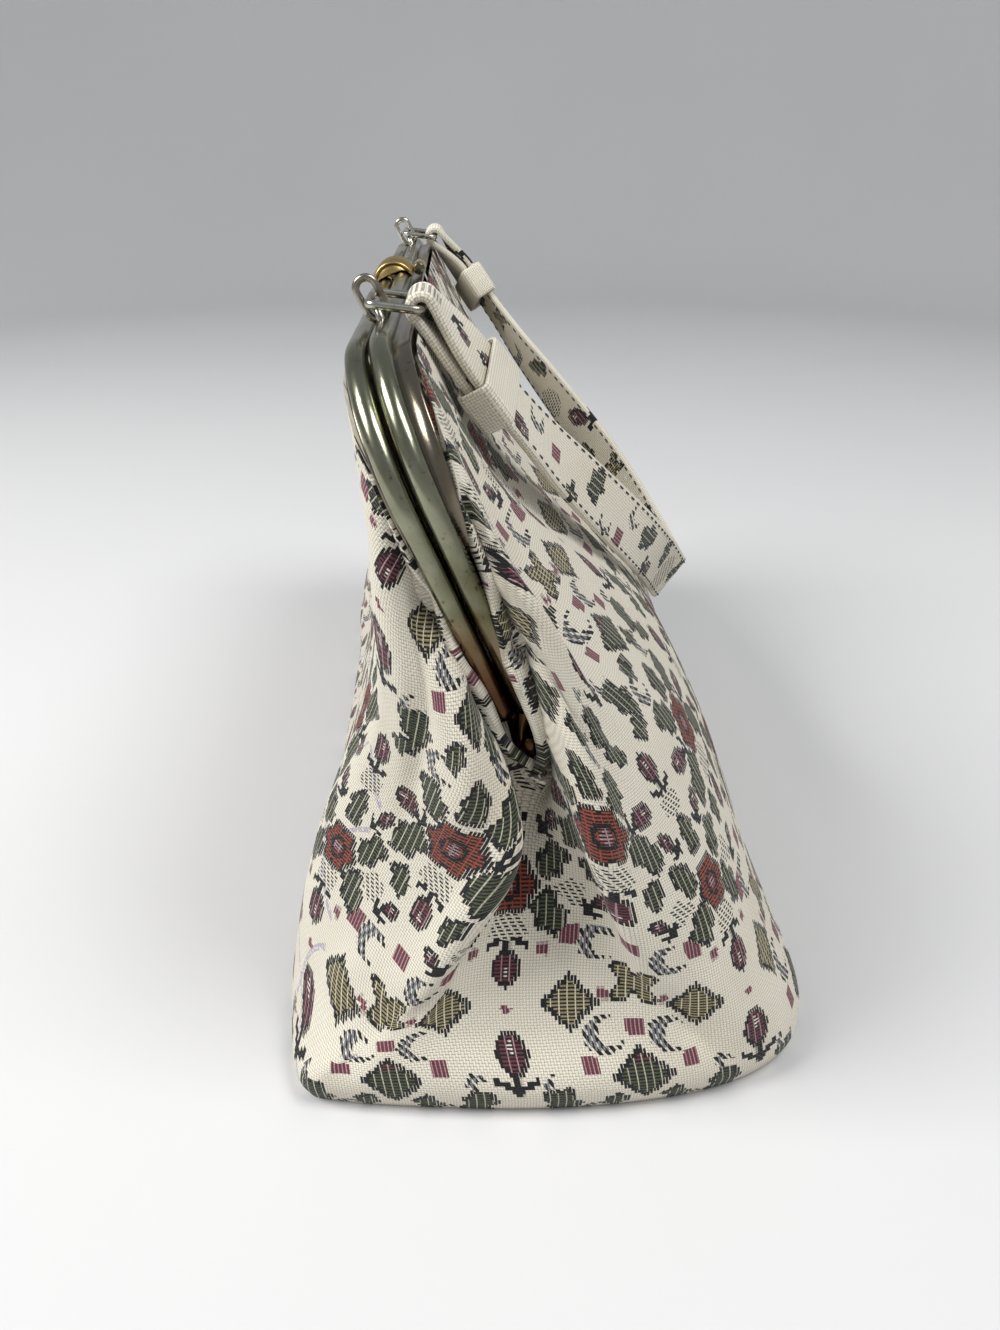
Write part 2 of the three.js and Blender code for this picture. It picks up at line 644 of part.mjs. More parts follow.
function strapKeeper(end) {
  const insideAcross = STRAP_WIDTH / 2 + KEEPER_FIT;
  const insideThick = STRAP_THICKNESS + LAYER_GAP / 2 + KEEPER_FIT;
  const band = new THREE.Shape();
  const hole = new THREE.Path();
  const boxes = [[band, KEEPER_WALL], [hole, 0]];
  boxes.forEach(([path, wall]) => {
    path.moveTo(insideAcross + wall, insideThick + wall);
    path.lineTo(-insideAcross - wall, insideThick + wall);
    path.lineTo(-insideAcross - wall, -insideThick - wall);
    path.lineTo(insideAcross + wall, -insideThick - wall);
    path.closePath();
  });
  band.holes.push(hole);
  const tube = new THREE.ExtrudeGeometry(band, { depth: KEEPER_LENGTH, bevelEnabled: false });
  tube.translate(0, 0, -KEEPER_LENGTH / 2);
  const heading = runHeading(KEEPER_AT);
  const toBag = (vector) => strapPlace(vector.y, vector.x, vector.z).sub(LINK_BAR);
  const flat = outward(KEEPER_AT);
  const centre = runPoint(KEEPER_AT).addScaledVector(flat.clone().cross(heading), -tailDrop(KEEPER_AT) / 2);
  const place = new THREE.Matrix4().makeBasis(
    toBag(flat), toBag(flat.clone().cross(heading)).negate(), toBag(heading),
  );
  place.setPosition(strapPlace(centre.y, centre.x, centre.z));
  tube.applyMatrix4(place);
  if (end < 0) {
    tube.scale(-1, 1, 1);
  }
  return toGeometry(toSolid(facingOut(bareOf(tube))));
}

// The folds of the cloth body, a row for each, from the front's middle round the near end to the
// back's middle. Each row runs from its foot on the base up to the frame. Seam is where it meets the
// frame, as a share of the half U: -1 at the front rail's middle, 0 at the hinge, 1 at the back
// rail's middle. The other columns are shares of half the length, half the width and the height.
// The far end mirrors the near one.
const FOLDS = [
  {
    fold: 'front_middle', seam: -1.00, foot: [0, -0.98],
    low: [0, -0.90, 0.14], middle: [0, -0.75, 0.34], high: [0, -0.64, 0.63],
  },
  {
    fold: 'front_quarter', seam: -0.62, foot: [0.51, -0.99],
    low: [0.51, -0.91, 0.14], middle: [0.51, -0.76, 0.34], high: [0.52, -0.63, 0.63],
  },
  {
    fold: 'front_end', seam: -0.43, foot: [0.80, -1.01],
    low: [0.80, -0.92, 0.14], middle: [0.79, -0.74, 0.35], high: [0.81, -0.56, 0.62],
  },
  {
    fold: 'front_puff', seam: -0.30, foot: [0.92, -0.96],
    low: [0.92, -0.70, 0.13], middle: [0.90, -0.42, 0.36], high: [0.88, -0.52, 0.66],
  },
  {
    fold: 'front_ridge', seam: -0.12, foot: [0.97, -0.76],
    low: [0.95, -0.50, 0.15], middle: [0.94, -0.22, 0.35], high: [0.93, -0.17, 0.50],
  },
  {
    fold: 'front_tuck', seam: -0.05, foot: [0.985, -0.45],
    low: [0.955, -0.40, 0.14], middle: [0.905, -0.25, 0.33], high: [0.875, -0.20, 0.47],
  },
  {
    fold: 'gusset', seam: 0.00, foot: [0.995, -0.08],
    low: [0.95, -0.13, 0.13], middle: [0.885, -0.12, 0.29], high: [0.84, -0.11, 0.43],
  },
  {
    fold: 'back_tuck', seam: 0.05, foot: [0.99, 0.28],
    low: [0.955, 0.26, 0.135], middle: [0.91, 0.17, 0.31], high: [0.88, 0, 0.46],
  },
  {
    fold: 'back_ridge', seam: 0.12, foot: [0.975, 0.54],
    low: [0.955, 0.42, 0.14], middle: [0.95, 0.22, 0.33], high: [0.94, 0.09, 0.48],
  },
  {
    fold: 'back_puff', seam: 0.29, foot: [0.92, 0.87],
    low: [0.91, 0.70, 0.17], middle: [0.90, 0.36, 0.38], high: [0.89, 0.06, 0.62],
  },
  {
    fold: 'back_end', seam: 0.43, foot: [0.82, 1.02],
    low: [0.79, 0.83, 0.18], middle: [0.78, 0.42, 0.47], high: [0.80, -0.15, 0.77],
  },
  {
    fold: 'back_quarter', seam: 0.62, foot: [0.51, 1.02],
    low: [0.51, 0.90, 0.19], middle: [0.51, 0.58, 0.46], high: [0.52, -0.12, 0.79],
  },
  {
    fold: 'back_middle', seam: 1.00, foot: [0, 1.02],
    low: [0, 0.90, 0.19], middle: [0, 0.58, 0.46], high: [0, -0.11, 0.79],
  },
];

// Heights along every fold, from its foot to the seam: the foot curls in under the bag's edge
const FOLD_KNOTS = [0, 0.04, 0.18, 0.42, 0.72, 1];
const RIM_HEIGHT = 5;
const FOOT_INSET = 0.015;
const SEAM_FROM_FLANGE = 0.8;
const SEAM_BELOW = 2.3;
const HINGE_SHARE = 0.07;
const SEAM_UNDER_HINGE = 7;

// Where the cloth meets the frame, at a place on the whole seam: -1 to 1 round the near end, as in
// the rows above, and on to 3 round the far end. Near a hinge the seam turns in under the rivet.
function seamPoint(place) {
  const onFar = place > 1;
  const signed = onFar ? 2 - place : place;
  const end = onFar ? -1 : 1;
  const side = signed < 0 ? -1 : 1;
  const share = Math.min(Math.abs(signed), 1);
  const spot = alongU(Math.max(share, HINGE_SHARE));
  const turn = Math.min(share / HINGE_SHARE, 1) * Math.PI / 2;
  const across = BEAD_OUT + BEAD_RADIUS + flangeWidth(share, side) + SEAM_FROM_FLANGE;
  const up = (spot.up + SEAM_UNDER_HINGE) * (1 - Math.cos(turn)) - SEAM_UNDER_HINGE;
  return framePoint(
    end * (spot.x - spot.out.x * SEAM_BELOW),
    side * across * Math.sin(turn),
    up - spot.out.y * SEAM_BELOW,
  );
}

// One row as the places of its foot, low, middle and high points, and its place on the seam
function foldPlaces(row, end) {
  const place = ([length, width, height]) => new THREE.Vector3(
    end * length * HALF_LENGTH, width * HALF_WIDTH, height * HEIGHT,
  );
  const seam = new THREE.Vector3(end > 0 ? row.seam : 2 - row.seam, 0, 0);
  return [place([...row.foot, 0]), place(row.low), place(row.middle), place(row.high), seam];
}

// All folds once round the bag, and one more at each end of the list, so that curves through them
// close smoothly
function foldsAround() {
  const near = FOLDS.map((row) => foldPlaces(row, 1));
  const far = FOLDS.slice(1, -1).reverse().map((row) => foldPlaces(row, -1));
  const once = [...near, ...far];
  const shifted = (places, turn) => places.map((point, i) => (
    i === places.length - 1 ? point.clone().setX(point.x + turn) : point
  ));
  return [
    shifted(once.at(-1), -4), ...once, shifted(once[0], 4), shifted(once[1], 4),
  ];
}

// The outside of the cloth body as rings from foot to seam
const AROUND_CUTS = 4;
const UP_CUTS = 15;

function bodyRings() {
  const folds = foldsAround();
  const knots = [0];
  for (let i = 1; i < folds.length; i += 1) {
    const apart = folds[i][0].distanceTo(folds[i - 1][0]) + folds[i][3].distanceTo(folds[i - 1][3]);
    knots.push(knots[i - 1] + apart / 2);
  }
  const columns = [];
  for (let i = 1; i < folds.length - 2; i += 1) {
    for (let j = 0; j < AROUND_CUTS; j += 1) {
      const at = knots[i] + (knots[i + 1] - knots[i]) * j / AROUND_CUTS;
      const across = folds[0].map((_, n) => throughPoints(folds.map((places) => places[n]), knots, at));
      const [rim, low, middle, high, seam] = across;
      const foot = rim.clone().multiplyScalar(1 - FOOT_INSET);
      columns.push([foot, rim.clone().setZ(RIM_HEIGHT), low, middle, high, seamPoint(seam.x)]);
    }
  }
  const rings = [];
  for (let level = 0; level <= UP_CUTS; level += 1) {
    rings.push(columns.map((points) => throughPoints(points, FOLD_KNOTS, level / UP_CUTS)));
  }
  return rings;
}

// The way out of a surface of rings at one of its points
function outwardAt(rings, level, i) {
  const count = rings[level].length;
  const around = rings[level][(i + 1) % count].clone().sub(rings[level][(i + count - 1) % count]);
  const above = rings[Math.min(level + 1, rings.length - 1)][i];
  const below = rings[Math.max(level - 1, 0)][i];
  return around.cross(above.clone().sub(below)).normalize();
}

// The cloth body: one wall with a flat bottom, open along the frame
function bagBody() {
  const outside = bodyRings();
  const inside = outside.map((ring, level) => ring.map((point, i) => {
    const inner = point.clone().addScaledVector(outwardAt(outside, level, i), -CLOTH);
    inner.z = Math.max(inner.z, CLOTH);
    return inner;
  }));
  return skin([...outside, ...inside.reverse()], false);
}

const PIECES = {
  bag_body: [bagBody(), LOOKS.cloth],
  frame_front: [frameFront(), LOOKS.frame],
  frame_back: [frameBack(), LOOKS.frame],
  clasp_lever: [claspLever(), LOOKS.clasp],
  handle_strap: [handleStrap(), LOOKS.strap],
};

[['near', 1], ['far', -1]].forEach(([name, end]) => {
  const place = framePoint(end * HINGE_X, 0, 0);
  PIECES[`rivet_${name}`] = [rivet().translate(place.x, place.y, place.z), LOOKS.frame];
  PIECES[`handle_ring_${name}`] = [handleRing(end), LOOKS.wire];
  PIECES[`strap_link_${name}`] = [strapLink(end), LOOKS.wire];
  PIECES[`strap_keeper_${name}`] = [strapKeeper(end), LOOKS.keeper];
});

const bag = new THREE.Group();
Object.entries(PIECES).forEach(([name, [geometry, look]]) => {
  const mesh = new THREE.Mesh(geometry, new THREE.MeshStandardMaterial(look));
  mesh.name = name;
  bag.add(mesh);
});

export default bag;
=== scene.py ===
"""Looks of the tapestry frame bag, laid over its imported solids.

Sizes are in millimetres, as in the part's source, and become metres where a mesh is made.
+X is the bag's length, -Y its front, +Y its back, +Z up.
"""

import math

import bpy
import numpy as np
from mathutils import Matrix, Vector


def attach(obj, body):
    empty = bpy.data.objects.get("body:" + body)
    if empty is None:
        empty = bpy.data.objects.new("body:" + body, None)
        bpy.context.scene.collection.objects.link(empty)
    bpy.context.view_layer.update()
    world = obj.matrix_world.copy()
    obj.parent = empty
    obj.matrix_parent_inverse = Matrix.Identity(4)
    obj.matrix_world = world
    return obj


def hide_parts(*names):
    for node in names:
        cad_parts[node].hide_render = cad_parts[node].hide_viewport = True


MM = 0.001

# Sizes of the bag, as in the part's source
HALF_LENGTH = 138.0
HALF_WIDTH = 59.0
HEIGHT = 155.0
CLOTH = 2.0
PIECE_GAP = 0.3

# Sizes of the frame
HINGE_X = 115.5
HINGE_Y = -5.0
HINGE_Z = 82.0
FRAME_LEAN = math.radians(21.8)
ARM_X = 120.3
ARM_LENGTH = 53.0
RAIL_HEIGHT = 77.0
CORNER_WIDTH = 26.0
BEAD_RADIUS = 2.1
BEAD_GAP = 0.5
FLANGE_THICKNESS = 0.9
FRONT_FLANGE = 0.8
BACK_FLANGE = 3.0
ARM_FLANGE = 0.6
HINGE_EYE_RADIUS = 2.6
HINGE_PLATE = 1.4
HINGE_PLATE_GAP = 0.4
RIVET_RADIUS = 1.0

# Sizes of the handle and its wire fittings
RING_X = 79.0
RING_WIRE = 0.75
RING_BEND = 2.0
RING_SPAN = 8.0
RING_LEAN = math.radians(27.5)
LINK_WIRE = 0.8
LINK_HALF_LENGTH = 8.8
LINK_IN_RING = 4.2
LINK_CORNER = 1.6
LINK_REACH = 9.8
LINK_DROP = math.radians(7)
LUG_WIRE = 0.8
LUG_BEND = 2.9
STRAP_WIDTH = 15.0
STRAP_THICKNESS = 2.0
STRAP_TAIL = 25.0
STRAP_DROP = 114.0
STRAP_SLOPE = math.radians(52.3)
KEEPER_LENGTH = 10.0
KEEPER_WALL = 1.2
KEEPER_AT = 21.0

# Sizes of the clasp
CLASP_LENGTH = 14.0
CLASP_WALL = 0.8
CLASP_KNUCKLE_RADIUS = 1.5
CLASP_KNUCKLE_LENGTH = 8.0
CLASP_EAR = 1.2
CLASP_CLEARANCE = 0.45
CLASP_PIN_RISE = 0.9
CLASP_PIN_INSET = 0.15

# The camera: where it stands, in metres, and which way it looks
CAMERA_AT = (0.279, -0.018, 0.186)
CAMERA_RIGHT = (0.04300, 0.99908, 0.0)
CAMERA_UP = (-0.46852, 0.02017, 0.88322)
CAMERA_BACK = (0.88240, -0.03798, 0.46896)
SENSOR = 36.0
FOCAL = 26.66
CLIP_NEAR = 0.01
CLIP_FAR = 20.0

HALF_GAP = BEAD_GAP / 2
BEAD_OUT = HALF_GAP + BEAD_RADIUS
FLANGE_FOOT = -BEAD_RADIUS
FLANGE_TOP = FLANGE_FOOT + FLANGE_THICKNESS
X_AXIS = np.array([1.0, 0.0, 0.0])
FRAME_ACROSS = np.array([0.0, math.cos(FRAME_LEAN), math.sin(FRAME_LEAN)])
FRAME_UP = np.array([0.0, -math.sin(FRAME_LEAN), math.cos(FRAME_LEAN)])
HINGE = np.array([0.0, HINGE_Y, HINGE_Z])


def places(*parts):
    """Numbers of any matching shapes set side by side as places."""
    return np.stack(np.broadcast_arrays(*parts), axis=-1)


def frame_point(along, across, up):
    """Along the bag, across the leaning frame and up it from the hinge."""
    along, across, up = np.broadcast_arrays(along, across, up)
    steps = [np.multiply.outer(part, axis)
             for part, axis in ((along, X_AXIS), (across, FRAME_ACROSS), (up, FRAME_UP))]
    return HINGE + steps[0] + steps[1] + steps[2]


def unit(vectors):
    """Each vector divided by its length."""
    return vectors / np.linalg.norm(vectors, axis=-1, keepdims=True)


def smoothstep(value, low, high):
    """0 below low, 1 above high and a smooth S between."""
    share = np.clip((value - low) / (high - low), 0, 1)
    return share * share * (3 - 2 * share)


def through_points(points, knots, at):
    """A smooth curve through points at uneven knots: on each span a cubic that leaves and arrives
    with the slope of the neighbours, weighed by how near they are."""
    points = np.asarray(points, float)
    knots = np.asarray(knots, float)
    at = np.asarray(at, float)
    shape = (-1,) + (1,) * (points.ndim - 1)
    spans = np.diff(knots).reshape(shape)
    slopes = np.diff(points, axis=0) / spans
    inner = (slopes[1:] * spans[:-1] + slopes[:-1] * spans[1:]) / (spans[:-1] + spans[1:])
    tangents = np.concatenate([slopes[:1], inner, slopes[-1:]])
    i = np.clip(np.searchsorted(knots, at, side="left") - 1, 0, len(knots) - 2)
    span = (knots[i + 1] - knots[i]).reshape(shape)
    u = (at - knots[i]).reshape(shape) / span
    return (points[i] * (2 * u ** 3 - 3 * u ** 2 + 1)
            + tangents[i] * (u ** 3 - 2 * u ** 2 + u) * span
            + points[i + 1] * (3 * u ** 2 - 2 * u ** 3)
            + tangents[i + 1] * (u ** 3 - u ** 2) * span)


def along_u(share):
    """Half the U, from the hinge at 0 up the arm and round the elliptical corner to the rail's
    middle at 1: place along the bag, height up the frame, and the way out of the U."""
    share = np.asarray(share, float)
    run = share * HALF_U
    rise = run / ARM_LENGTH
    turn = np.clip((run - ARM_LENGTH) / CORNER_LENGTH, 0, 1) * math.pi / 2
    slant = unit(np.array([ARM_LENGTH, HINGE_X - ARM_X]))
    on_arm = run <= ARM_LENGTH
    on_rail = run > ARM_LENGTH + CORNER_LENGTH
    corner_x = STRAIGHT_X + CORNER_WIDTH * np.cos(turn)
    corner_up = ARM_LENGTH + CORNER_HEIGHT * np.sin(turn)
    along = np.where(on_arm, HINGE_X + (ARM_X - HINGE_X) * rise, corner_x)
    along = np.where(on_rail, HALF_U - run, along)
    up = np.where(on_arm, run, corner_up)
    corner_out = unit(places(CORNER_HEIGHT * np.cos(turn), CORNER_WIDTH * np.sin(turn)))
    out = np.where(on_arm[..., None], slant, corner_out)
    return along, up, out


CORNER_HEIGHT = RAIL_HEIGHT - ARM_LENGTH
STRAIGHT_X = ARM_X - CORNER_WIDTH
CORNER_LENGTH = (CORNER_WIDTH + CORNER_HEIGHT) * math.pi / 4
HALF_U = ARM_LENGTH + CORNER_LENGTH + STRAIGHT_X
FLANGE_NARROW_AT = 0.14
FLANGE_WIDE_AT = 0.36


def flange_width(share, side):
    """How far the flange stands out beside the bead: wide along the rail, narrow down the arms."""
    wide = ARM_FLANGE + (BACK_FLANGE - ARM_FLANGE) * smoothstep(share, FLANGE_NARROW_AT, FLANGE_WIDE_AT)
    return np.where(np.asarray(side) < 0, FRONT_FLANGE, wide)


# The folds of the cloth body, a row for each, as in the part's source: seam is the place on the
# frame, the others are shares of half the length, half the width and the height
FOLDS = [
    # fold, seam, foot, low, middle, high
    ("front_middle", -1.00, (0, -0.98), (0, -0.90, 0.14), (0, -0.75, 0.34), (0, -0.64, 0.63)),
    ("front_quarter", -0.62, (0.51, -0.99), (0.51, -0.91, 0.14), (0.51, -0.76, 0.34), (0.52, -0.63, 0.63)),
    ("front_end", -0.43, (0.80, -1.01), (0.80, -0.92, 0.14), (0.79, -0.74, 0.35), (0.81, -0.56, 0.62)),
    ("front_puff", -0.30, (0.92, -0.96), (0.92, -0.70, 0.13), (0.90, -0.42, 0.36), (0.88, -0.52, 0.66)),
    ("front_ridge", -0.12, (0.97, -0.76), (0.95, -0.50, 0.15), (0.94, -0.22, 0.35), (0.93, -0.17, 0.50)),
    ("front_tuck", -0.05, (0.985, -0.45), (0.955, -0.40, 0.14), (0.905, -0.25, 0.33), (0.875, -0.20, 0.47)),
    ("gusset", 0.00, (0.995, -0.08), (0.95, -0.13, 0.13), (0.885, -0.12, 0.29), (0.84, -0.11, 0.43)),
    ("back_tuck", 0.05, (0.99, 0.28), (0.955, 0.26, 0.135), (0.91, 0.17, 0.31), (0.88, 0, 0.46)),
    ("back_ridge", 0.12, (0.975, 0.54), (0.955, 0.42, 0.14), (0.95, 0.22, 0.33), (0.94, 0.09, 0.48)),
    ("back_puff", 0.29, (0.92, 0.87), (0.91, 0.70, 0.17), (0.90, 0.36, 0.38), (0.89, 0.06, 0.62)),
    ("back_end", 0.43, (0.82, 1.02), (0.79, 0.83, 0.18), (0.78, 0.42, 0.47), (0.80, -0.15, 0.77)),
    ("back_quarter", 0.62, (0.51, 1.02), (0.51, 0.90, 0.19), (0.51, 0.58, 0.46), (0.52, -0.12, 0.79)),
    ("back_middle", 1.00, (0, 1.02), (0, 0.90, 0.19), (0, 0.58, 0.46), (0, -0.11, 0.79)),
]
FOLD_KNOTS = [0, 0.04, 0.18, 0.42, 0.72, 1]
RIM_HEIGHT = 5.0
FOOT_INSET = 0.015
SEAM_FROM_FLANGE = 0.8
SEAM_BELOW = 2.3
HINGE_SHARE = 0.07
SEAM_UNDER_HINGE = 7.0
HEM_FADES = (0.2, 0.34)
HEM_ROLL = [(1.0, -0.25), (1.9, 0.1), (2.5, 0.85)]
LIP_FADES = (0.05, 0.24)
FRONT_LIP = 1.5
BACK_LIP = 2.1
AROUND_CUTS = 24
UP_CUTS = 120
INNER_CUTS = 22
BOTTOM_CUTS = 14


def seam_point(place, beside=SEAM_FROM_FLANGE, below=SEAM_BELOW):
    """Where the cloth meets the frame, at a place on the whole seam: -1 to 1 round the near end
    and on to 3 round the far one. Near a hinge the seam turns in under the rivet."""
    on_far = place > 1
    signed = np.where(on_far, 2 - place, place)
    end = np.where(on_far, -1.0, 1.0)
    side = np.where(signed < 0, -1.0, 1.0)
    share = np.minimum(np.abs(signed), 1)
    along, up, out = along_u(np.maximum(share, HINGE_SHARE))
    turn = np.minimum(share / HINGE_SHARE, 1) * math.pi / 2
    across = BEAD_OUT + BEAD_RADIUS + flange_width(share, side) + beside
    up = (up + SEAM_UNDER_HINGE) * (1 - np.cos(turn)) - SEAM_UNDER_HINGE
    return frame_point(
        end * (along - out[..., 0] * below),
        side * across * np.sin(turn),
        up - out[..., 1] * below,
    )


def fold_places(row, end):
    """One row's foot, low, middle and high points, and its place on the seam."""
    _, seam, foot, low, middle, high = row
    sizes = np.array([end * HALF_LENGTH, HALF_WIDTH, HEIGHT])
    spots = [np.array([*foot, 0.0]), *map(np.array, (low, middle, high))]
    return np.array([spot * sizes for spot in spots] + [[seam if end > 0 else 2 - seam, 0, 0]])


def body_columns():
    """The folds once round the bag, with smooth curves between them at every level."""
    near = [fold_places(row, 1) for row in FOLDS]
    far = [fold_places(row, -1) for row in reversed(FOLDS[1:-1])]
    once = near + far

    def shifted(fold, turn):
        moved = fold.copy()
        moved[-1, 0] += turn
        return moved

    folds = np.array([shifted(once[-1], -4)] + once + [shifted(once[0], 4), shifted(once[1], 4)])
    apart = (np.linalg.norm(np.diff(folds[:, 0], axis=0), axis=1)
             + np.linalg.norm(np.diff(folds[:, 3], axis=0), axis=1)) / 2
    knots = np.concatenate([[0], np.cumsum(apart)])
    spans = len(folds) - 3
    at = np.concatenate([
        knots[i] + (knots[i + 1] - knots[i]) * np.arange(AROUND_CUTS) / AROUND_CUTS
        for i in range(1, 1 + spans)
    ])
    across = through_points(folds, knots, at)
    rim, low, middle, high, seam = (across[:, n] for n in range(5))
    foot = rim * (1 - FOOT_INSET)
    edge = rim.copy()
    edge[:, 2] = RIM_HEIGHT
    return np.stack([foot, edge, low, middle, high, seam_point(seam[:, 0])]), seam[:, 0]


def normals_of(grid, wrap=True):
    """The way out of a grid of points, rows rising and columns going round. Where neighbouring rows
    lie on each other, as the hem's do along the rail, there is none and the result isn't a number."""
    if wrap:
        around = np.roll(grid, -1, axis=1) - np.roll(grid, 1, axis=1)
    else:
        around = np.gradient(grid, axis=1)
    rising = np.gradient(grid, axis=0)
    return unit(np.cross(around, rising))


def cloth_places(grid):
    """Where each point of the body lies on the flat cloth, in millimetres: the way round it from
    the near gusset, and the way up it from the floor. The far half mirrors the near one, so that
    the pattern meets itself at the middle of the front and of the back."""
    closed = np.concatenate([grid, grid[:, :1]], axis=1)
    steps = np.linalg.norm(np.diff(closed, axis=1), axis=2)
    start = FOLD_AT["gusset"] * AROUND_CUTS
    round_it = np.concatenate([np.zeros((len(grid), 1)), np.cumsum(steps, axis=1)], axis=1)
    round_it = round_it - round_it[:, start:start + 1]
    climbs = np.linalg.norm(np.diff(closed, axis=0), axis=2)
    up_it = np.concatenate([np.zeros((1, closed.shape[1])), np.cumsum(climbs, axis=0)])
    half = grid.shape[1] // 2
    round_it[:, half:] = round_it[:, half::-1]
    return np.stack([round_it, up_it], axis=-1)


FOLD_AT = {row[0]: i for i, row in enumerate(FOLDS)}

# Soft creases in the cloth: start and end on the flat cloth, depth and width, in millimetres
CREASES = [
    ((0, 104), (0, 50), -4.0, 6.0),
    ((17, 108), (26, 34), 2.4, 5.5),
    ((-16, 108), (-22, 34), 2.2, 5.5),
    ((-8, 92), (-14, 40), -1.6, 3.4),
    ((3, 60), (12, 30), -1.0, 2.8),
    ((30, 34), (44, 6), -1.8, 3.0),
    ((38, 40), (50, 14), 1.2, 4.0),
    ((-24, 40), (-44, 8), -1.8, 3.2),
    ((-34, 44), (-52, 14), 1.3, 4.0),
    ((-36, 148), (-30, 62), 1.6, 4.6),
    ((-48, 150), (-43, 66), -2.2, 3.4),
    ((-58, 144), (-64, 60), 1.5, 5.0),
    ((-70, 120), (-74, 50), -1.2, 4.0),
    ((26, 142), (40, 84), -1.5, 3.2),
    ((44, 156), (56, 84), 1.5, 4.4),
    ((58, 160), (76, 84), -1.6, 3.6),
    ((22, 112), (34, 66), 1.2, 3.6),
    ((84, 170), (110, 96), 1.4, 5.0),
    ((100, 172), (126, 90), -1.3, 4.0),
    ((-84, 150), (-82, 70), -1.3, 4.5),
    ((-120, 146), (-112, 60), 1.1, 5.0),
    ((-160, 140), (-166, 60), -1.0, 5.0),
    ((130, 168), (150, 80), -1.1, 5.0),
    ((180, 168), (176, 90), 1.0, 5.0),
]


def creased(grid, cloth):
    """Pushes the surface in or out along each crease: a smooth groove whose depth falls off with
    the square of the distance from the crease's line, and fades at both its ends."""
    push = np.zeros(grid.shape[:2])
    for start, end, depth, width in CREASES:
        start = np.array(start, float)
        way = np.array(end, float) - start
        length = np.linalg.norm(way)
        from_start = cloth[:, :-1] - start
        along = (from_start @ way) / length ** 2
        nearest = from_start - np.clip(along, 0, 1)[..., None] * way
        apart = np.linalg.norm(nearest, axis=-1)
        fade = np.sin(np.clip(along, 0, 1) * math.pi)
        push += depth * np.exp(-(apart / width) ** 2) * fade
    return grid + normals_of(grid) * push[..., None]


def hem_rows(seam):
    """The cloth's hem above the seam: along the arms it rises beside the bead and rolls in to it,
    further and further over it towards the hinge, and along the rail it stays under the flange."""
    signed = np.where(seam > 1, 2 - seam, seam)
    hug = 1 - smoothstep(np.abs(signed), *HEM_FADES)
    lip = np.where(signed < 0, FRONT_LIP, BACK_LIP)
    hug = hug * (1 + lip * (1 - smoothstep(np.abs(signed), *LIP_FADES)))
    rows = []
    for rise, inwards in HEM_ROLL:
        beside = SEAM_FROM_FLANGE - inwards * hug
        below = SEAM_BELOW - rise * hug
        rows.append(seam_point(seam, beside, below))
    return np.array(rows)


def bag_outside():
    """The outside of the cloth body as a grid of points, and their places on the flat cloth."""
    levels = np.linspace(0, 1, UP_CUTS + 1)
    columns, seam = body_columns()
    grid = np.concatenate([through_points(columns, FOLD_KNOTS, levels), hem_rows(seam)])
    cloth = cloth_places(grid)
    return creased(grid, cloth), cloth


def mesh_object(name, points, faces, material, cloth=None):
    """A mesh from points in millimetres and faces as rows of point numbers, -1 for a missing
    fourth corner, with cloth as the UV of each face's corners."""
    mesh = bpy.data.meshes.new(name)
    counts = np.where(faces[:, 3] < 0, 3, 4)
    corners = faces[faces >= 0]
    mesh.vertices.add(len(points))
    mesh.vertices.foreach_set("co", (points * MM).astype(np.float32).ravel())
    mesh.loops.add(len(corners))
    mesh.loops.foreach_set("vertex_index", corners.astype(np.int32))
    mesh.polygons.add(len(faces))
    starts = np.concatenate([[0], np.cumsum(counts)[:-1]])
    mesh.polygons.foreach_set("loop_start", starts.astype(np.int32))
    mesh.polygons.foreach_set("use_smooth", np.ones(len(faces), bool))
    mesh.update(calc_edges=True)
    if cloth is not None:
        layer = mesh.uv_layers.new(name="Cloth")
        layer.data.foreach_set("uv", cloth[faces >= 0].astype(np.float32).ravel())
    mesh.validate()
    mesh.materials.append(material)
    thing = bpy.data.objects.new(name, mesh)
    bpy.context.scene.collection.objects.link(thing)
    return thing


def grid_faces(rows, columns, wrap_rows=False, wrap_columns=True, flip=False):
    """Quads between the points of a grid, and the grid place of each of their corners."""
    last_row = rows if wrap_rows else rows - 1
    last_column = columns if wrap_columns else columns - 1
    i, j = np.meshgrid(np.arange(last_row), np.arange(last_column), indexing="ij")
    i, j = i.ravel(), j.ravel()
    steps = [(0, 0), (0, 1), (1, 1), (1, 0)]
    if flip:
        steps = steps[::-1]
    raw = np.stack([np.stack([i + a, j + b], axis=-1) for a, b in steps], axis=1)
    wrapped = (raw[..., 0] % rows) * columns + raw[..., 1] % columns
    return wrapped, raw


def capped(points, faces, ring, flip):
    """Closes a ring of point numbers with a fan round its middle."""
    middle = points[ring].mean(axis=0)
    apex = len(points)
    following = np.roll(ring, -1)
    first, second = (following, ring) if flip else (ring, following)
    fan = np.stack([np.full(len(ring), apex), first, second, np.full(len(ring), -1)], axis=1)
    return np.vstack([points, middle]), np.vstack([faces, fan])


def volume_of(points, faces):
    """Six times the signed volume that the faces enclose."""
    a, b, c, d = (points[faces[:, n]] for n in range(4))
    total = np.einsum("ij,ij->i", a, np.cross(b, c)).sum()
    quads = faces[:, 3] >= 0
    return total + np.einsum("ij,ij->i", a[quads], np.cross(c[quads], d[quads])).sum()


def outwards(points, faces):
    """The faces turned so that they enclose a positive volume."""
    if volume_of(points, faces) > 0:
        return faces
    turned = faces[:, [1, 0, 3, 2]].copy()
    triangles = faces[:, 3] < 0
    turned[triangles] = faces[triangles][:, [1, 0, 2, 3]]
    return turned


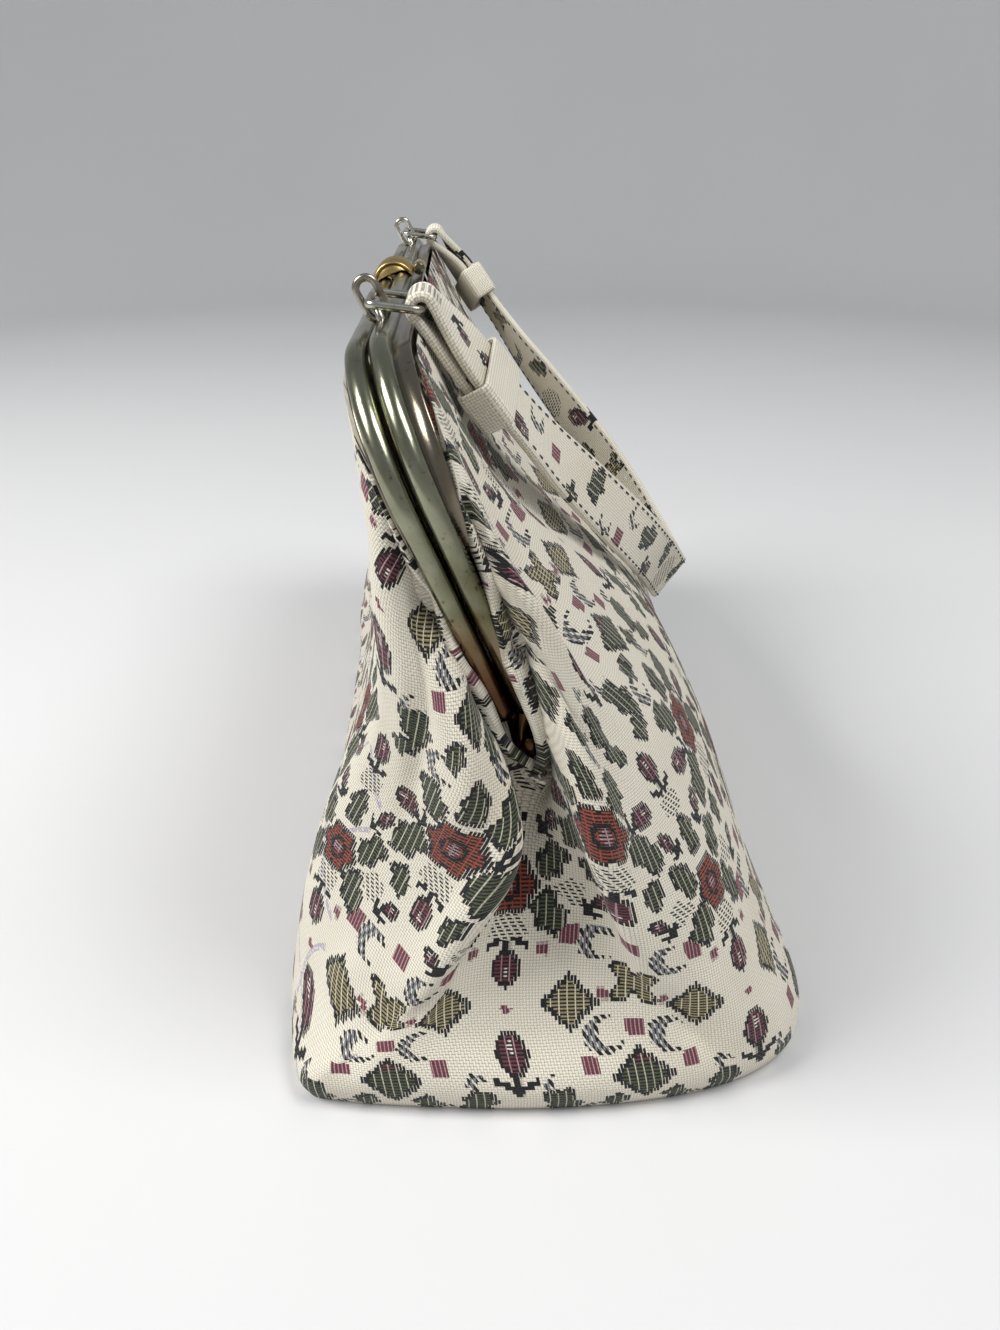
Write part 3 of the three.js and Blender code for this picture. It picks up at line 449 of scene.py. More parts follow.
def tube_object(name, rings, material, closed=False):
    """Rings of points skinned into a closed body: the rings join up when closed is true, and are
    capped by fans otherwise. The UV holds the way round the ring and the way along the tube."""
    rows, columns = rings.shape[:2]
    points = rings.reshape(-1, 3)
    faces, raw = grid_faces(rows, columns, wrap_rows=closed)
    ends = np.concatenate([rings, rings[:, :1]], axis=1)
    round_it = np.concatenate([
        np.zeros((rows, 1)), np.cumsum(np.linalg.norm(np.diff(ends, axis=1), axis=2), axis=1),
    ], axis=1)
    middles = rings.mean(axis=1)
    middles = np.concatenate([middles, middles[:1]])
    run = np.concatenate([[0], np.cumsum(np.linalg.norm(np.diff(middles, axis=0), axis=1))])
    round_it = np.concatenate([round_it, round_it[:1]])
    cloth = np.stack([round_it[raw[..., 0], raw[..., 1]], run[raw[..., 0]]], axis=-1)
    if not closed:
        count = len(faces)
        points, faces = capped(points, faces, np.arange(columns), True)
        points, faces = capped(points, faces, (rows - 1) * columns + np.arange(columns), False)
        extra = np.zeros((len(faces) - count, 4, 2))
        cloth = np.concatenate([cloth, extra])
    turned = outwards(points, faces)
    if turned is not faces:
        cloth = cloth[:, [1, 0, 3, 2]]
        triangles = faces[:, 3] < 0
        cloth[triangles] = 0
    return mesh_object(name, points, turned, material, cloth)


# Motifs woven into the cloth, by name, as the material tells them apart, and how far each reaches
# from its middle, as a share of its size
REACH = {"none": 0, "leaf": 1.1, "quatrefoil": 1.1, "diamond": 1.1, "green_diamond": 1.1, "flower": 1.15,
         "bud": 1.9, "square": 1.5, "scroll": 1.1, "shadow": 1.2}
KINDS = {name: number for number, name in enumerate(REACH)}

# One repeat of the tapestry, charted in millimetres round an upright axis: kind, place beside
# the axis and up it, turn in degrees and size. Rows beside the axis come again mirrored.
REPEAT_WIDTH = 54.0
REPEAT_HEIGHT = 98.0
REPEAT_AXIS = -2.5
MOTIF_MARGIN = 1.5
REPEAT = [
    ("bud", 0, 17, 0, 5.4),
    ("leaf", 9, 4, -75, 6.4),
    ("square", 0, 26.5, 45, 1.2),
    ("bud", 0, 36, 180, 4.8),
    ("flower", 0, 54, 0, 7.0),
    ("leaf", 8.5, 48, -60, 6.0),
    ("leaf", 9, 60, -120, 5.6),
    ("leaf", 0, 67, 90, 5.4),
    ("shadow", 0, 45, 0, 4.4),
    ("diamond", 13.5, 28, 0, 6.8),
    ("quatrefoil", 27, 33, 45, 6.6),
    ("green_diamond", 27, 11, 0, 7.2),
    ("scroll", 19, 42, -15, 5.0),
    ("scroll", 20, 20.5, 15, 5.0),
    ("square", 13, 43.5, 0, 2.4),
    ("square", 27, 46, 0, 1.9),
    ("square", 20.5, 30, 0, 1.5),
    ("square", 26.5, 22, 0, 1.7),
    ("square", 16, 14, 0, 1.9),
    ("flower", 27, 78, 0, 8.0),
    ("leaf", 16.5, 71, -130, 7.0),
    ("leaf", 18, 87, -50, 6.6),
    ("shadow", 27, 67, 0, 4.4),
    ("bud", 27, 58, 180, 4.6),
    ("bud", 12, 79, 75, 4.4),
    ("leaf", 27, 91, 90, 5.6),
    ("bud", 0, 86, 0, 4.8),
    ("leaf", 7, 94, 40, 5.0),
    ("scroll", 17, 97, 20, 4.8),
    ("shadow", 0, 76, 0, 3.4),
    ("leaf", 19, 60, -60, 5.0),
    ("bud", 9, 70, -30, 3.2),
    ("shadow", 13, 53, 0, 3.6),
    ("leaf", 20, 3, 60, 4.8),
    ("scroll", 8, 10, 30, 3.6),
    ("bud", 20, 52, -50, 3.0),
    ("square", 7, 40, 0, 1.5),
]


def motif_rows(rows):
    """A list of motifs as an array: kind, place, turn, size and reach."""
    return np.array([[KINDS[kind], across, up, math.radians(turn), size, REACH[kind]]
                     for kind, across, up, turn, size in rows], float)


def repeated(low, high):
    """The repeat laid over the cloth from one corner to the other: each row, and its mirror image
    unless it stands on the axis or halfway to the next one."""
    charted = motif_rows(REPEAT)
    beside = (charted[:, 1] > 0) & (charted[:, 1] < REPEAT_WIDTH / 2)
    mirror = charted[beside] * [1, -1, 1, -1, 1, 1]
    tile = np.concatenate([charted, mirror])
    tile[:, 1] += REPEAT_AXIS
    copies = []
    for i in range(math.floor(low[0] / REPEAT_WIDTH) - 1, math.ceil(high[0] / REPEAT_WIDTH) + 2):
        for j in range(math.floor(low[1] / REPEAT_HEIGHT) - 1, math.ceil(high[1] / REPEAT_HEIGHT) + 1):
            copies.append(tile + [0, i * REPEAT_WIDTH, j * REPEAT_HEIGHT, 0, 0, 0])
    return np.concatenate(copies)


def weave_in(thing, motifs):
    """Gives each face the motif whose edge is nearest to it: its place seen from the motif's
    middle, turned with it, and the motif's turn, kind and size, on the face's corners."""
    mesh = thing.data
    uv = np.zeros(len(mesh.loops) * 2, np.float32)
    mesh.uv_layers["Cloth"].data.foreach_get("uv", uv)
    uv = uv.reshape(-1, 2).astype(float)
    totals = np.zeros(len(mesh.polygons), np.int32)
    mesh.polygons.foreach_get("loop_total", totals)
    owner = np.repeat(np.arange(len(totals)), totals)
    middle = np.stack([np.bincount(owner, uv[:, n]) / totals for n in range(2)], axis=1)
    best = np.full(len(middle), np.inf)
    chosen = np.zeros(len(middle), int)
    for number, (_, across, up, _, size, reach) in enumerate(motifs):
        excess = np.hypot(middle[:, 0] - across, middle[:, 1] - up) - size * reach
        nearer = excess < best
        best[nearer] = excess[nearer]
        chosen[nearer] = number
    row = motifs[chosen[owner]]
    far = best[owner] > MOTIF_MARGIN
    away = uv - row[:, 1:3]
    cosine, sine = np.cos(row[:, 3]), np.sin(row[:, 3])
    local = np.stack([away[:, 0] * cosine + away[:, 1] * sine,
                      away[:, 1] * cosine - away[:, 0] * sine, row[:, 4]], axis=1)
    facts = np.stack([cosine, sine, np.where(far, 0, row[:, 0])], axis=1)
    for name, values in (("motif_place", local), ("motif_facts", facts)):
        layer = mesh.attributes.new(name, "FLOAT_VECTOR", "CORNER")
        layer.data.foreach_set("vector", values.astype(np.float32).ravel())


class Field:
    """A number on the surface, worked out by Math nodes, so that a formula reads as one."""

    def __init__(self, tree, socket):
        self.tree = tree
        self.socket = socket

    def math(self, operation, *others, clamp=False):
        """The Math node of that operation on this field and the others."""
        node = self.tree.nodes.new("ShaderNodeMath")
        node.operation = operation
        node.use_clamp = clamp
        for slot, value in zip(node.inputs, (self, *others)):
            if isinstance(value, Field):
                self.tree.links.new(value.socket, slot)
            else:
                slot.default_value = value
        return Field(self.tree, node.outputs[0])

    def __add__(self, other):
        return self.math("ADD", other)

    def __sub__(self, other):
        return self.math("SUBTRACT", other)

    def __mul__(self, other):
        return self.math("MULTIPLY", other)

    def __truediv__(self, other):
        return self.math("DIVIDE", other)

    def __lt__(self, other):
        return self.math("LESS_THAN", other)

    def __gt__(self, other):
        return self.math("GREATER_THAN", other)

    def __and__(self, other):
        return self.math("MULTIPLY", other)

    def __or__(self, other):
        return self.math("MAXIMUM", other)

    def __invert__(self):
        """1 less this field, which turns a mask round."""
        return (self * -1) + 1


def linear(hexed):
    """A colour written as on a colour card, as the light that it sends back."""
    channels = [(hexed >> shift & 255) / 255 for shift in (16, 8, 0)]
    return tuple(c / 12.92 if c <= 0.04045 else ((c + 0.055) / 1.055) ** 2.4 for c in channels) + (1.0,)


class Finish:
    """A material's node tree with short calls for the nodes that the finishes here use."""

    def __init__(self, name):
        self.material = bpy.data.materials.new(name)
        self.material.use_nodes = True
        self.tree = self.material.node_tree
        self.shader = self.tree.nodes["Principled BSDF"]

    def node(self, kind, **values):
        node = self.tree.nodes.new("ShaderNode" + kind)
        for name, value in values.items():
            setattr(node, name, value)
        return node

    def link(self, value, slot):
        if isinstance(value, Field):
            value = value.socket
        if isinstance(value, bpy.types.NodeSocket):
            self.tree.links.new(value, slot)
        else:
            slot.default_value = value

    def places(self):
        """Object coordinates in metres."""
        return self.node("TexCoord").outputs["Object"]

    def stretched(self, scale):
        """Object coordinates squeezed along each axis by a scale."""
        mapping = self.node("Mapping")
        self.link(self.places(), mapping.inputs["Vector"])
        mapping.inputs["Scale"].default_value = scale
        return mapping.outputs[0]

    def cloth(self):
        """The way round and up the flat cloth, in millimetres, as two fields."""
        split = self.node("SeparateXYZ")
        self.link(self.node("UVMap", uv_map="Cloth").outputs[0], split.inputs[0])
        return Field(self.tree, split.outputs[0]), Field(self.tree, split.outputs[1])

    def attribute(self, name):
        """The three numbers of a named attribute, as fields."""
        split = self.node("SeparateXYZ")
        found = self.node("Attribute", attribute_name=name)
        self.link(found.outputs["Vector"], split.inputs[0])
        return [Field(self.tree, out) for out in split.outputs]

    def noise(self, scale, detail=3.0, vector=None, roughness=0.5):
        """Cloudy noise between 0 and 1 with that many clouds to the metre."""
        node = self.node("TexNoise")
        self.link(vector if vector is not None else self.places(), node.inputs["Vector"])
        node.inputs["Scale"].default_value = scale
        node.inputs["Detail"].default_value = detail
        node.inputs["Roughness"].default_value = roughness
        return Field(self.tree, node.outputs[0])

    def mixed(self, first, second, share):
        """The second colour over the first, by a share from 0 to 1."""
        node = self.node("Mix", data_type="RGBA")
        self.link(share, node.inputs[0])
        self.link(first, node.inputs[6])
        self.link(second, node.inputs[7])
        return node.outputs[2]

    def bump(self, height, distance, strength=1.0, over=None):
        """Raises the surface by a height field, over another bump where one is given."""
        node = self.node("Bump")
        node.inputs["Strength"].default_value = strength
        node.inputs["Distance"].default_value = distance
        self.link(height, node.inputs["Height"])
        if over is not None:
            self.link(over, node.inputs["Normal"])
        return node.outputs[0]


CREAM = linear(0xEBE4D2)
CREAM_SHADE = linear(0xCCC1A8)
STAIN = linear(0xCDB479)
INK = linear(0x15161B)
SAGE = linear(0x4F573F)
SAGE_LIGHT = linear(0xC3C1A8)
KHAKI = linear(0xA0946F)
KHAKI_LIGHT = linear(0xE0D8B8)
RUST = linear(0x9A4836)
BURGUNDY = linear(0x6E3641)
PINK = linear(0xB39094)
GREY_THREAD = linear(0x85858A)
GAP_SHADE = linear(0x37322A)
THREAD = 0.66
STEP_ACROSS = 0.7
STEP_UP = 1.0
STITCH_GAP = 0.2
OUTLINE = 1.25
RIB_PITCH = 1.75
WEAVE_RELIEF = 0.12
DASH_PITCH = 0.85


def snapped(value, step):
    """A field held to the middles of equal steps."""
    return ((value / step).math("FLOOR") + 0.5) * step


def striped(value, pitch, share):
    """1 on a line that takes up that share of every pitch, 0 between."""
    return (value / pitch).math("FRACT") < share


def woven_motifs(finish, across, up, ground):
    """The motifs over the ground's colour. Each is a shape round its own middle, its edge held to
    the steps of the weave: leaf, quatrefoil and flower are circles whose radius waves with the
    angle, the flower's with a dark ring round a pink eye, diamonds are the sum of both distances,
    bud is a drop on a stem with twigs, square a small square, scroll a crescent and shadow a hatched
    oval. A shape is black at its edge, and inside it short dashes of its colour lie on black between
    light ribs."""
    x, y, size = finish.attribute("motif_place")
    cosine, sine, kind = finish.attribute("motif_facts")
    slip_across = snapped(across, STEP_ACROSS) - across
    slip_up = snapped(up, STEP_UP) - up
    x = x + cosine * slip_across + sine * slip_up
    y = y + cosine * slip_up - sine * slip_across
    radius = (x * x + y * y).math("SQRT")
    angle = y.math("ARCTAN2", x)
    ribs = striped(across, RIB_PITCH, 0.15)
    dashes = striped(up, DASH_PITCH, 0.5)
    stitched = ~striped(across, STEP_ACROSS, STITCH_GAP)
    slanted = striped(across + up * 0.6, 1.7, 0.62)
    wide = x.math("ABSOLUTE")
    tall = y.math("ABSOLUTE")
    colour = ground

    def is_kind(name):
        return (kind - KINDS[name]).math("ABSOLUTE") < 0.5

    def wavy(base, lobe, count, turn=0.0):
        return ((angle * count + turn).math("COSINE") * lobe + base) * size

    def painted(colour, name, depth, fill, lines):
        inside = is_kind(name) & (depth > 0)
        colour = finish.mixed(colour, INK, inside & (stitched | (depth > OUTLINE * 0.7)))
        field = inside & (depth > OUTLINE)
        colour = finish.mixed(colour, fill, field & dashes)
        return finish.mixed(colour, lines, field & ribs)

    leaf_edge = wavy(0.76, 0.1, 5.0) + wavy(0.0, 0.2, 2.0)
    colour = painted(colour, "leaf", leaf_edge - radius, SAGE, SAGE_LIGHT)
    quatrefoil_edge = wavy(0.78, 0.27, 4.0)
    colour = painted(colour, "quatrefoil", quatrefoil_edge - radius, KHAKI, KHAKI_LIGHT)
    diamond = (size - wide - tall) * 0.75
    colour = painted(colour, "diamond", diamond, KHAKI, KHAKI_LIGHT)
    topped = finish.mixed(SAGE, BURGUNDY, (y > size * 0.35))
    colour = painted(colour, "green_diamond", diamond, topped, SAGE_LIGHT)
    flower_edge = wavy(0.9, 0.1, 6.0)
    eye_ring = (radius - size * 0.34).math("ABSOLUTE") < 0.45
    petals = finish.mixed(finish.mixed(RUST, INK, eye_ring), PINK, radius < size * 0.2)
    colour = painted(colour, "flower", flower_edge - radius, petals, petals)
    drop = ((x / 0.7) * (x / 0.7) + y * y).math("SQRT")
    heart = (y - size * 0.25).math("ABSOLUTE") + wide * 2.0
    petal = finish.mixed(BURGUNDY, CREAM, heart < size * 0.28)
    stem = (wide < 0.75) & (y < 0) & (y > size * -1.8)
    twigs = (wide * 0.55 - y - size * 1.55).math("ABSOLUTE") < 0.9
    twigs = twigs & (wide < size * 0.9)
    colour = finish.mixed(colour, INK, is_kind("bud") & (stem | twigs))
    colour = painted(colour, "bud", size * 0.95 - drop, petal, PINK)
    inside = is_kind("square") & ((wide | tall) < size)
    colour = finish.mixed(colour, BURGUNDY, inside)
    colour = finish.mixed(colour, PINK, inside & striped(across, RIB_PITCH / 2, 0.3))
    bite = ((x - size * 0.4) * (x - size * 0.4) + y * y).math("SQRT") - size * 0.6
    crescent = (size * 0.9 - radius).math("MINIMUM", bite)
    inside = is_kind("scroll") & (crescent > 0)
    colour = finish.mixed(colour, INK, inside & slanted)
    colour = finish.mixed(colour, GREY_THREAD, inside & (crescent > 0.7) & striped(across, DASH_PITCH, 0.6))
    oval = ((x / 1.2) * (x / 1.2) + y * y).math("SQRT")
    return finish.mixed(colour, INK, is_kind("shadow") & (oval < size) & slanted & dashes)


def glitter_lines(finish, across, up, colour):
    """Lilac glitter thread over the lower front: waves that cross and part again, a sine of the
    way round the cloth above and below a level, drawn as two thin dotted lines."""
    beyond = (across < GLITTER_FROM) & (up < GLITTER_TOP)
    band = (up / GLITTER_PITCH).math("FRACT") - 0.5
    wave = (across * (math.tau / GLITTER_LOOP)).math("SINE") * 0.42
    near_line = ((band - wave).math("ABSOLUTE") < 0.024) | ((band + wave).math("ABSOLUTE") < 0.024)
    dots = finish.noise(1500.0, 2.0) > 0.44
    return finish.mixed(colour, GLITTER, near_line & beyond & dots & GLITTER_COVER)


GLITTER = linear(0xB4ABBF)
GLITTER_FROM = -50.0
GLITTER_TOP = 84.0
GLITTER_PITCH = 34.0
GLITTER_LOOP = 62.0
GLITTER_COVER = 0.8


def tapestry_finish(name, motifs=True, stained=0.0, glitter=False):
    """Plain-woven cream cloth: threads over and under each other, with the motifs woven in."""
    finish = Finish(name)
    across, up = finish.cloth()
    warp = across / THREAD
    weft = up / THREAD
    parity = ((warp.math("FLOOR") + weft.math("FLOOR")) / 2).math("FRACT") > 0.25
    warp_round = (warp.math("FRACT") * math.pi).math("SINE")
    weft_round = (weft.math("FRACT") * math.pi).math("SINE")
    height = (parity & warp_round) | (~parity & weft_round)
    clouds = finish.noise(45.0, 4.0)
    slubs = finish.noise(900.0, 2.0)
    ground = finish.mixed(CREAM, CREAM_SHADE, (clouds - 0.45).math("MULTIPLY", 0.9, clamp=True))
    ground = finish.mixed(ground, STAIN, (clouds - 0.62).math("MULTIPLY", stained, clamp=True))
    if glitter:
        ground = glitter_lines(finish, across, up, ground)
    colour = woven_motifs(finish, across, up, ground) if motifs else ground
    gaps = (~height).math("POWER", 1.6)
    colour = finish.mixed(colour, GAP_SHADE, gaps * 0.62)
    finish.link(colour, finish.shader.inputs["Base Color"])
    finish.shader.inputs["Roughness"].default_value = 0.88
    finish.shader.inputs["Specular IOR Level"].default_value = 0.25
    finish.shader.inputs["Sheen Weight"].default_value = 0.15
    finish.shader.inputs["Sheen Roughness"].default_value = 0.5
    relief = finish.bump(height + slubs * 0.5, WEAVE_RELIEF * MM, 0.9)
    finish.link(relief, finish.shader.inputs["Normal"])
    return finish.material


def metal_with_wear_and_reflection(name, bright, dull, roughness, dulling=0.5, arms=False):
    """Plated metal, bright where it is handled and dull in clouds and specks elsewhere. With arms
    true the flange beside the bead is a dull taupe, partly its own dull colour and partly painted
    shade of the channel beside the bead, and the arms turn copper brown in streaks down towards
    the hinges, darkest at the bottom: partly worn plating and partly a painted reflection of a
    brown table."""
    finish = Finish(name)
    clouds = finish.noise(60.0, 5.0)
    specks = finish.noise(700.0, 3.0)
    wear = ((clouds - 0.5) * 2.6 + dulling).math("ADD", 0.0, clamp=True)
    colour = finish.mixed(bright, dull, wear)
    if arms:
        round_it, _ = finish.cloth()
        # painted shade: the flange is dull taupe, partly its own dull colour and partly the painted shade of
        # the channel beside the bead
        colour = finish.mixed(colour, FLANGE_TAUPE_AND_SHADE, (round_it > BEAD_ROUND) * 0.7)
        # painted reflection: the arms turn copper brown in streaks towards the hinges, darkest at the
        # bottom, partly worn plating and partly a painted reflection of a brown table
        split = finish.node("SeparateXYZ")
        finish.link(finish.places(), split.inputs[0])
        height = Field(finish.tree, split.outputs[2])
        low = (height - ARM_BROWN_FROM) / (ARM_BROWN_TO - ARM_BROWN_FROM)
        low = low.math("ADD", 0.0, clamp=True)
        streaks = finish.noise(90.0, 4.0, finish.stretched((1.0, 1.0, 0.25)))
        worn_and_reflected = ((streaks - 0.5) * 2.2 + low * 1.7 - 0.5).math("ADD", 0.0, clamp=True)
        colour = finish.mixed(colour, COPPER_WEAR_AND_REFLECTION, worn_and_reflected * 0.9)
        dark = (low * 1.8 - 1.0).math("ADD", 0.0, clamp=True)
        colour = finish.mixed(colour, DARK_COPPER_WEAR_AND_REFLECTION, dark)
    colour = finish.mixed(colour, TARNISH, ((specks - 0.62) * 5.0).math("ADD", 0.0, clamp=True))
    finish.link(colour, finish.shader.inputs["Base Color"])
    finish.shader.inputs["Metallic"].default_value = 1.0
    rough = clouds * 0.22 + specks * 0.1 + (roughness - 0.14)
    finish.link(rough, finish.shader.inputs["Roughness"])
    scratches = finish.noise(2500.0, 2.0)
    finish.link(finish.bump(scratches, SCRATCH_RELIEF * MM, 0.5), finish.shader.inputs["Normal"])
    return finish.material


# dull taupe of the flange, partly its own colour and partly painted shade of the channel beside the bead
FLANGE_TAUPE_AND_SHADE = linear(0x77695C)
BEAD_ROUND = BEAD_RADIUS * (1.5 * math.pi + math.asin(-FLANGE_TOP / BEAD_RADIUS))
# copper browns of the arms below these heights in metres: partly worn plating, partly a painted reflection
# of a brown table
COPPER_WEAR_AND_REFLECTION = linear(0x7A5230)
DARK_COPPER_WEAR_AND_REFLECTION = linear(0x33231A)
TARNISH = linear(0x3A3126)
ARM_BROWN_FROM = 0.128
ARM_BROWN_TO = 0.094
SCRATCH_RELIEF = 0.02


def bag_body(material):
    """The cloth body: outside up from the floor, over the seam and down inside, with both bottoms
    closed to their middles."""
    outside, cloth = bag_outside()
    rows, columns = outside.shape[:2]
    picked = np.linspace(rows - 1, 0, INNER_CUTS).round().astype(int)
    inside = (outside - normals_of(outside) * CLOTH)[picked]
    inside[..., 2] = np.maximum(inside[..., 2], CLOTH)
    shrink = np.linspace(0, 1, BOTTOM_CUTS + 1)[1:, None, None]
    foot = outside[:1]
    heart = foot.mean(axis=1, keepdims=True)
    under = heart + (foot - heart) * shrink[:-1]
    under_cloth = np.concatenate([under, under[:, :1]], axis=1)[..., :2] * [1, -1]
    grid = np.concatenate([under, outside, inside])
    rows = len(grid)
    spread = np.concatenate([under_cloth, cloth, cloth[picked]])
    faces, raw = grid_faces(rows, columns)
    corner_cloth = spread[raw[..., 0], raw[..., 1]]
    # the row where the bottom meets the wall takes the bottom's own places on the cloth
    joint = (raw[..., 0].min(axis=1) == len(under) - 1)[:, None] & (raw[..., 0] == len(under))
    foot_cloth = np.concatenate([foot, foot[:, :1]], axis=1)[0, :, :2] * [1, -1]
    corner_cloth[joint] = foot_cloth[raw[..., 1]][joint]
    points = grid.reshape(-1, 3)
    count = len(faces)
    points, faces = capped(points, faces, np.arange(columns), True)
    points, faces = capped(points, faces, (rows - 1) * columns + np.arange(columns), False)
    corner_cloth = np.concatenate([corner_cloth, np.zeros((len(faces) - count, 4, 2))])
    turned = outwards(points, faces)
    if turned is not faces:
        corner_cloth = corner_cloth[:, [1, 0, 3, 2]]
    thing = mesh_object("bag_cloth", points, turned, material, corner_cloth)
    low, high = cloth.reshape(-1, 2).min(axis=0), cloth.reshape(-1, 2).max(axis=0)
    weave_in(thing, repeated(np.minimum(low, -HALF_LENGTH), high))
    return thing


BEAD_STEPS = 40
TIP_STEPS = 7
# How far above the hinge the round bar starts
ARM_FOOT = 8.0


def frame_section(share, side):
    """The round bead with the flange at its foot, its edges eased, as across and out."""
    share = np.atleast_1d(share)
    sweep = 1.5 * math.pi + math.asin(-FLANGE_TOP / BEAD_RADIUS)
    angles = -math.pi / 2 - sweep * np.linspace(0, 1, BEAD_STEPS + 1)
    bead = places(BEAD_OUT + BEAD_RADIUS * np.cos(angles), BEAD_RADIUS * np.sin(angles))
    bead = np.broadcast_to(bead, (len(share),) + bead.shape)
    edge = BEAD_OUT + BEAD_RADIUS + flange_width(share, side)
    turn = np.linspace(math.pi / 2, -math.pi / 2, TIP_STEPS)
    tip_out = (FLANGE_TOP + FLANGE_FOOT) / 2 + FLANGE_THICKNESS / 2 * np.sin(turn)
    tip = places(edge[:, None] - FLANGE_THICKNESS / 2 * (1 - np.cos(turn)), tip_out)
    section = np.concatenate([bead, tip], axis=1)
    section[..., 0] *= side
    return section


def u_shares(arm_cuts=26, corner_cuts=40, rail_cuts=30):
    """Shares of the half U, close together round its corner."""
    arm_end = ARM_LENGTH / HALF_U
    corner_end = (ARM_LENGTH + CORNER_LENGTH) / HALF_U
    return np.concatenate([
        np.linspace(ARM_FOOT / HALF_U, arm_end, arm_cuts, endpoint=False),
        np.linspace(arm_end, corner_end, corner_cuts, endpoint=False),
        np.linspace(corner_end, 1, rail_cuts),
    ])


def frame_bar(name, side, material):
    """A frame half: its section carried along the U from hinge to hinge."""
    shares = u_shares()
    along, up, out = along_u(shares)
    section = frame_section(shares, side)
    near_along = along[:, None] + out[:, :1] * section[..., 1]
    near_up = up[:, None] + out[:, 1:] * section[..., 1]
    near = frame_point(near_along, section[..., 0], near_up)
    far = near[-2::-1].copy()
    far[..., 0] *= -1
    return tube_object(name, np.concatenate([near, far]), material)


PLATE_CUTS = 48
PLATE_TOP = 11.0
PLATE_SQUEEZE = 0.35
PLATE_EASE = 0.25


def hinge_plate(name, side, end, material):
    """A plate with an eye at an arm's foot: an outline and a hole carried through its thickness."""
    angles = np.linspace(0, 2 * math.pi, PLATE_CUTS, endpoint=False) + math.pi / 2
    eye = places(HINGE_EYE_RADIUS * np.cos(angles), HINGE_EYE_RADIUS * np.sin(angles))
    rise = np.clip(np.sin(angles), 0, 1) ** 2
    squeeze = 1 - PLATE_SQUEEZE * rise
    outline = places(side * BEAD_OUT * rise + eye[:, 0] * squeeze,
                     eye[:, 1] + (PLATE_TOP - HINGE_EYE_RADIUS) * rise)
    bore = RIVET_RADIUS + PIECE_GAP
    hole = places(bore * np.cos(angles), bore * np.sin(angles))
    layer = side * (HINGE_PLATE + HINGE_PLATE_GAP) / 2
    middle = end * (HINGE_X + layer)
    half = HINGE_PLATE / 2
    eased = 1 - PLATE_EASE / HINGE_EYE_RADIUS
    rings = []
    for shape, depth in ((outline * eased, half), (outline, half - PLATE_EASE), (outline, PLATE_EASE - half),
                         (outline * eased, -half), (hole, -half), (hole, half)):
        rings.append(frame_point(middle + depth, shape[:, 0], shape[:, 1]))
    return tube_object(name, np.array(rings), material, closed=True)


WIRE_SIDES = 20


def wire_rings(points, normal, radius):
    """Circles of a round wire round the points of a closed flat loop."""
    forward = unit(np.roll(points, -1, axis=0) - np.roll(points, 1, axis=0))
    side = unit(np.cross(forward, normal))
    turn = np.linspace(0, 2 * math.pi, WIRE_SIDES, endpoint=False)
    return (points[:, None] + side[:, None] * (radius * np.cos(turn))[:, None]
            + normal * (radius * np.sin(turn))[:, None])


def rounded_loop(half_long, half_short, corner, corner_cuts, side_cuts=6):
    """A rectangle with round corners, walked once round."""
    points = []
    for quarter, (a, b) in enumerate(((1, 1), (-1, 1), (-1, -1), (1, -1))):
        angles = (quarter + np.linspace(0, 1, corner_cuts + 1)) * math.pi / 2
        points.append(places(a * (half_long - corner) + corner * np.cos(angles),
                             b * (half_short - corner) + corner * np.sin(angles)))
    loop = []
    for here, following in zip(points, points[1:] + points[:1]):
        loop.append(here)
        share = np.linspace(0, 1, side_cuts + 2)[1:-1, None]
        if np.linalg.norm(following[0] - here[-1]) > corner / 4:
            loop.append(here[-1] + (following[0] - here[-1]) * share)
    return np.concatenate(loop)


BEAD_TOP = RAIL_HEIGHT + BEAD_RADIUS
RING_FOOT_UP = BEAD_TOP - PIECE_GAP
RING_UP = np.array([0, -math.sin(RING_LEAN), math.cos(RING_LEAN)])
RING_ACROSS = np.array([0, math.cos(RING_LEAN), math.sin(RING_LEAN)])
RING_FOOT = frame_point(0.0, BEAD_OUT, RING_FOOT_UP)
RING_BAR = RING_FOOT + RING_UP * LINK_IN_RING
LINK_BAR = RING_BAR + np.array([0, math.cos(LINK_DROP), -math.sin(LINK_DROP)]) * LINK_REACH


def ring_lug(name, end, material):
    """Half a wire loop standing on the back bead."""
    angle = np.linspace(0, math.pi, 24)
    turn = np.linspace(0, 2 * math.pi, WIRE_SIDES, endpoint=False)
    reach = LUG_BEND + LUG_WIRE * np.cos(turn)
    along = end * RING_X + np.cos(angle)[:, None] * reach
    up = BEAD_TOP - LUG_WIRE + np.sin(angle)[:, None] * reach
    rings = frame_point(along, BEAD_OUT + LUG_WIRE * np.sin(turn)[None], up)
    return tube_object(name, rings, material)


def handle_ring(name, end, material):
    """The oval wire ring through a lug."""
    middle = RING_FOOT + X_AXIS * end * RING_X + RING_UP * RING_SPAN / 2
    loop = rounded_loop(RING_SPAN / 2, RING_BEND, RING_BEND - 0.05, 14)
    points = middle + loop[:, :1] * RING_UP + loop[:, 1:] * RING_ACROSS
    return tube_object(name, wire_rings(points, X_AXIS, RING_WIRE), material, closed=True)


def strap_link(name, end, material):
    """The flat wire link between ring and strap."""
    reach = LINK_BAR - RING_BAR
    middle = (RING_BAR + LINK_BAR) / 2 + X_AXIS * end * RING_X
    half = np.linalg.norm(reach) / 2
    reach = unit(reach)
    loop = rounded_loop(LINK_HALF_LENGTH, half, LINK_CORNER, 10, 14)
    points = middle + loop[:, :1] * X_AXIS + loop[:, 1:] * reach
    normal = unit(np.cross(reach, X_AXIS))
    return tube_object(name, wire_rings(points, normal, LINK_WIRE), material, closed=True)


RIVET_HEAD_RADIUS = 2.0
RIVET_HEAD_RISE = 0.8
RIVET_SIDES = 36
DOME_TOP = 0.12
DOME_CUTS = 8


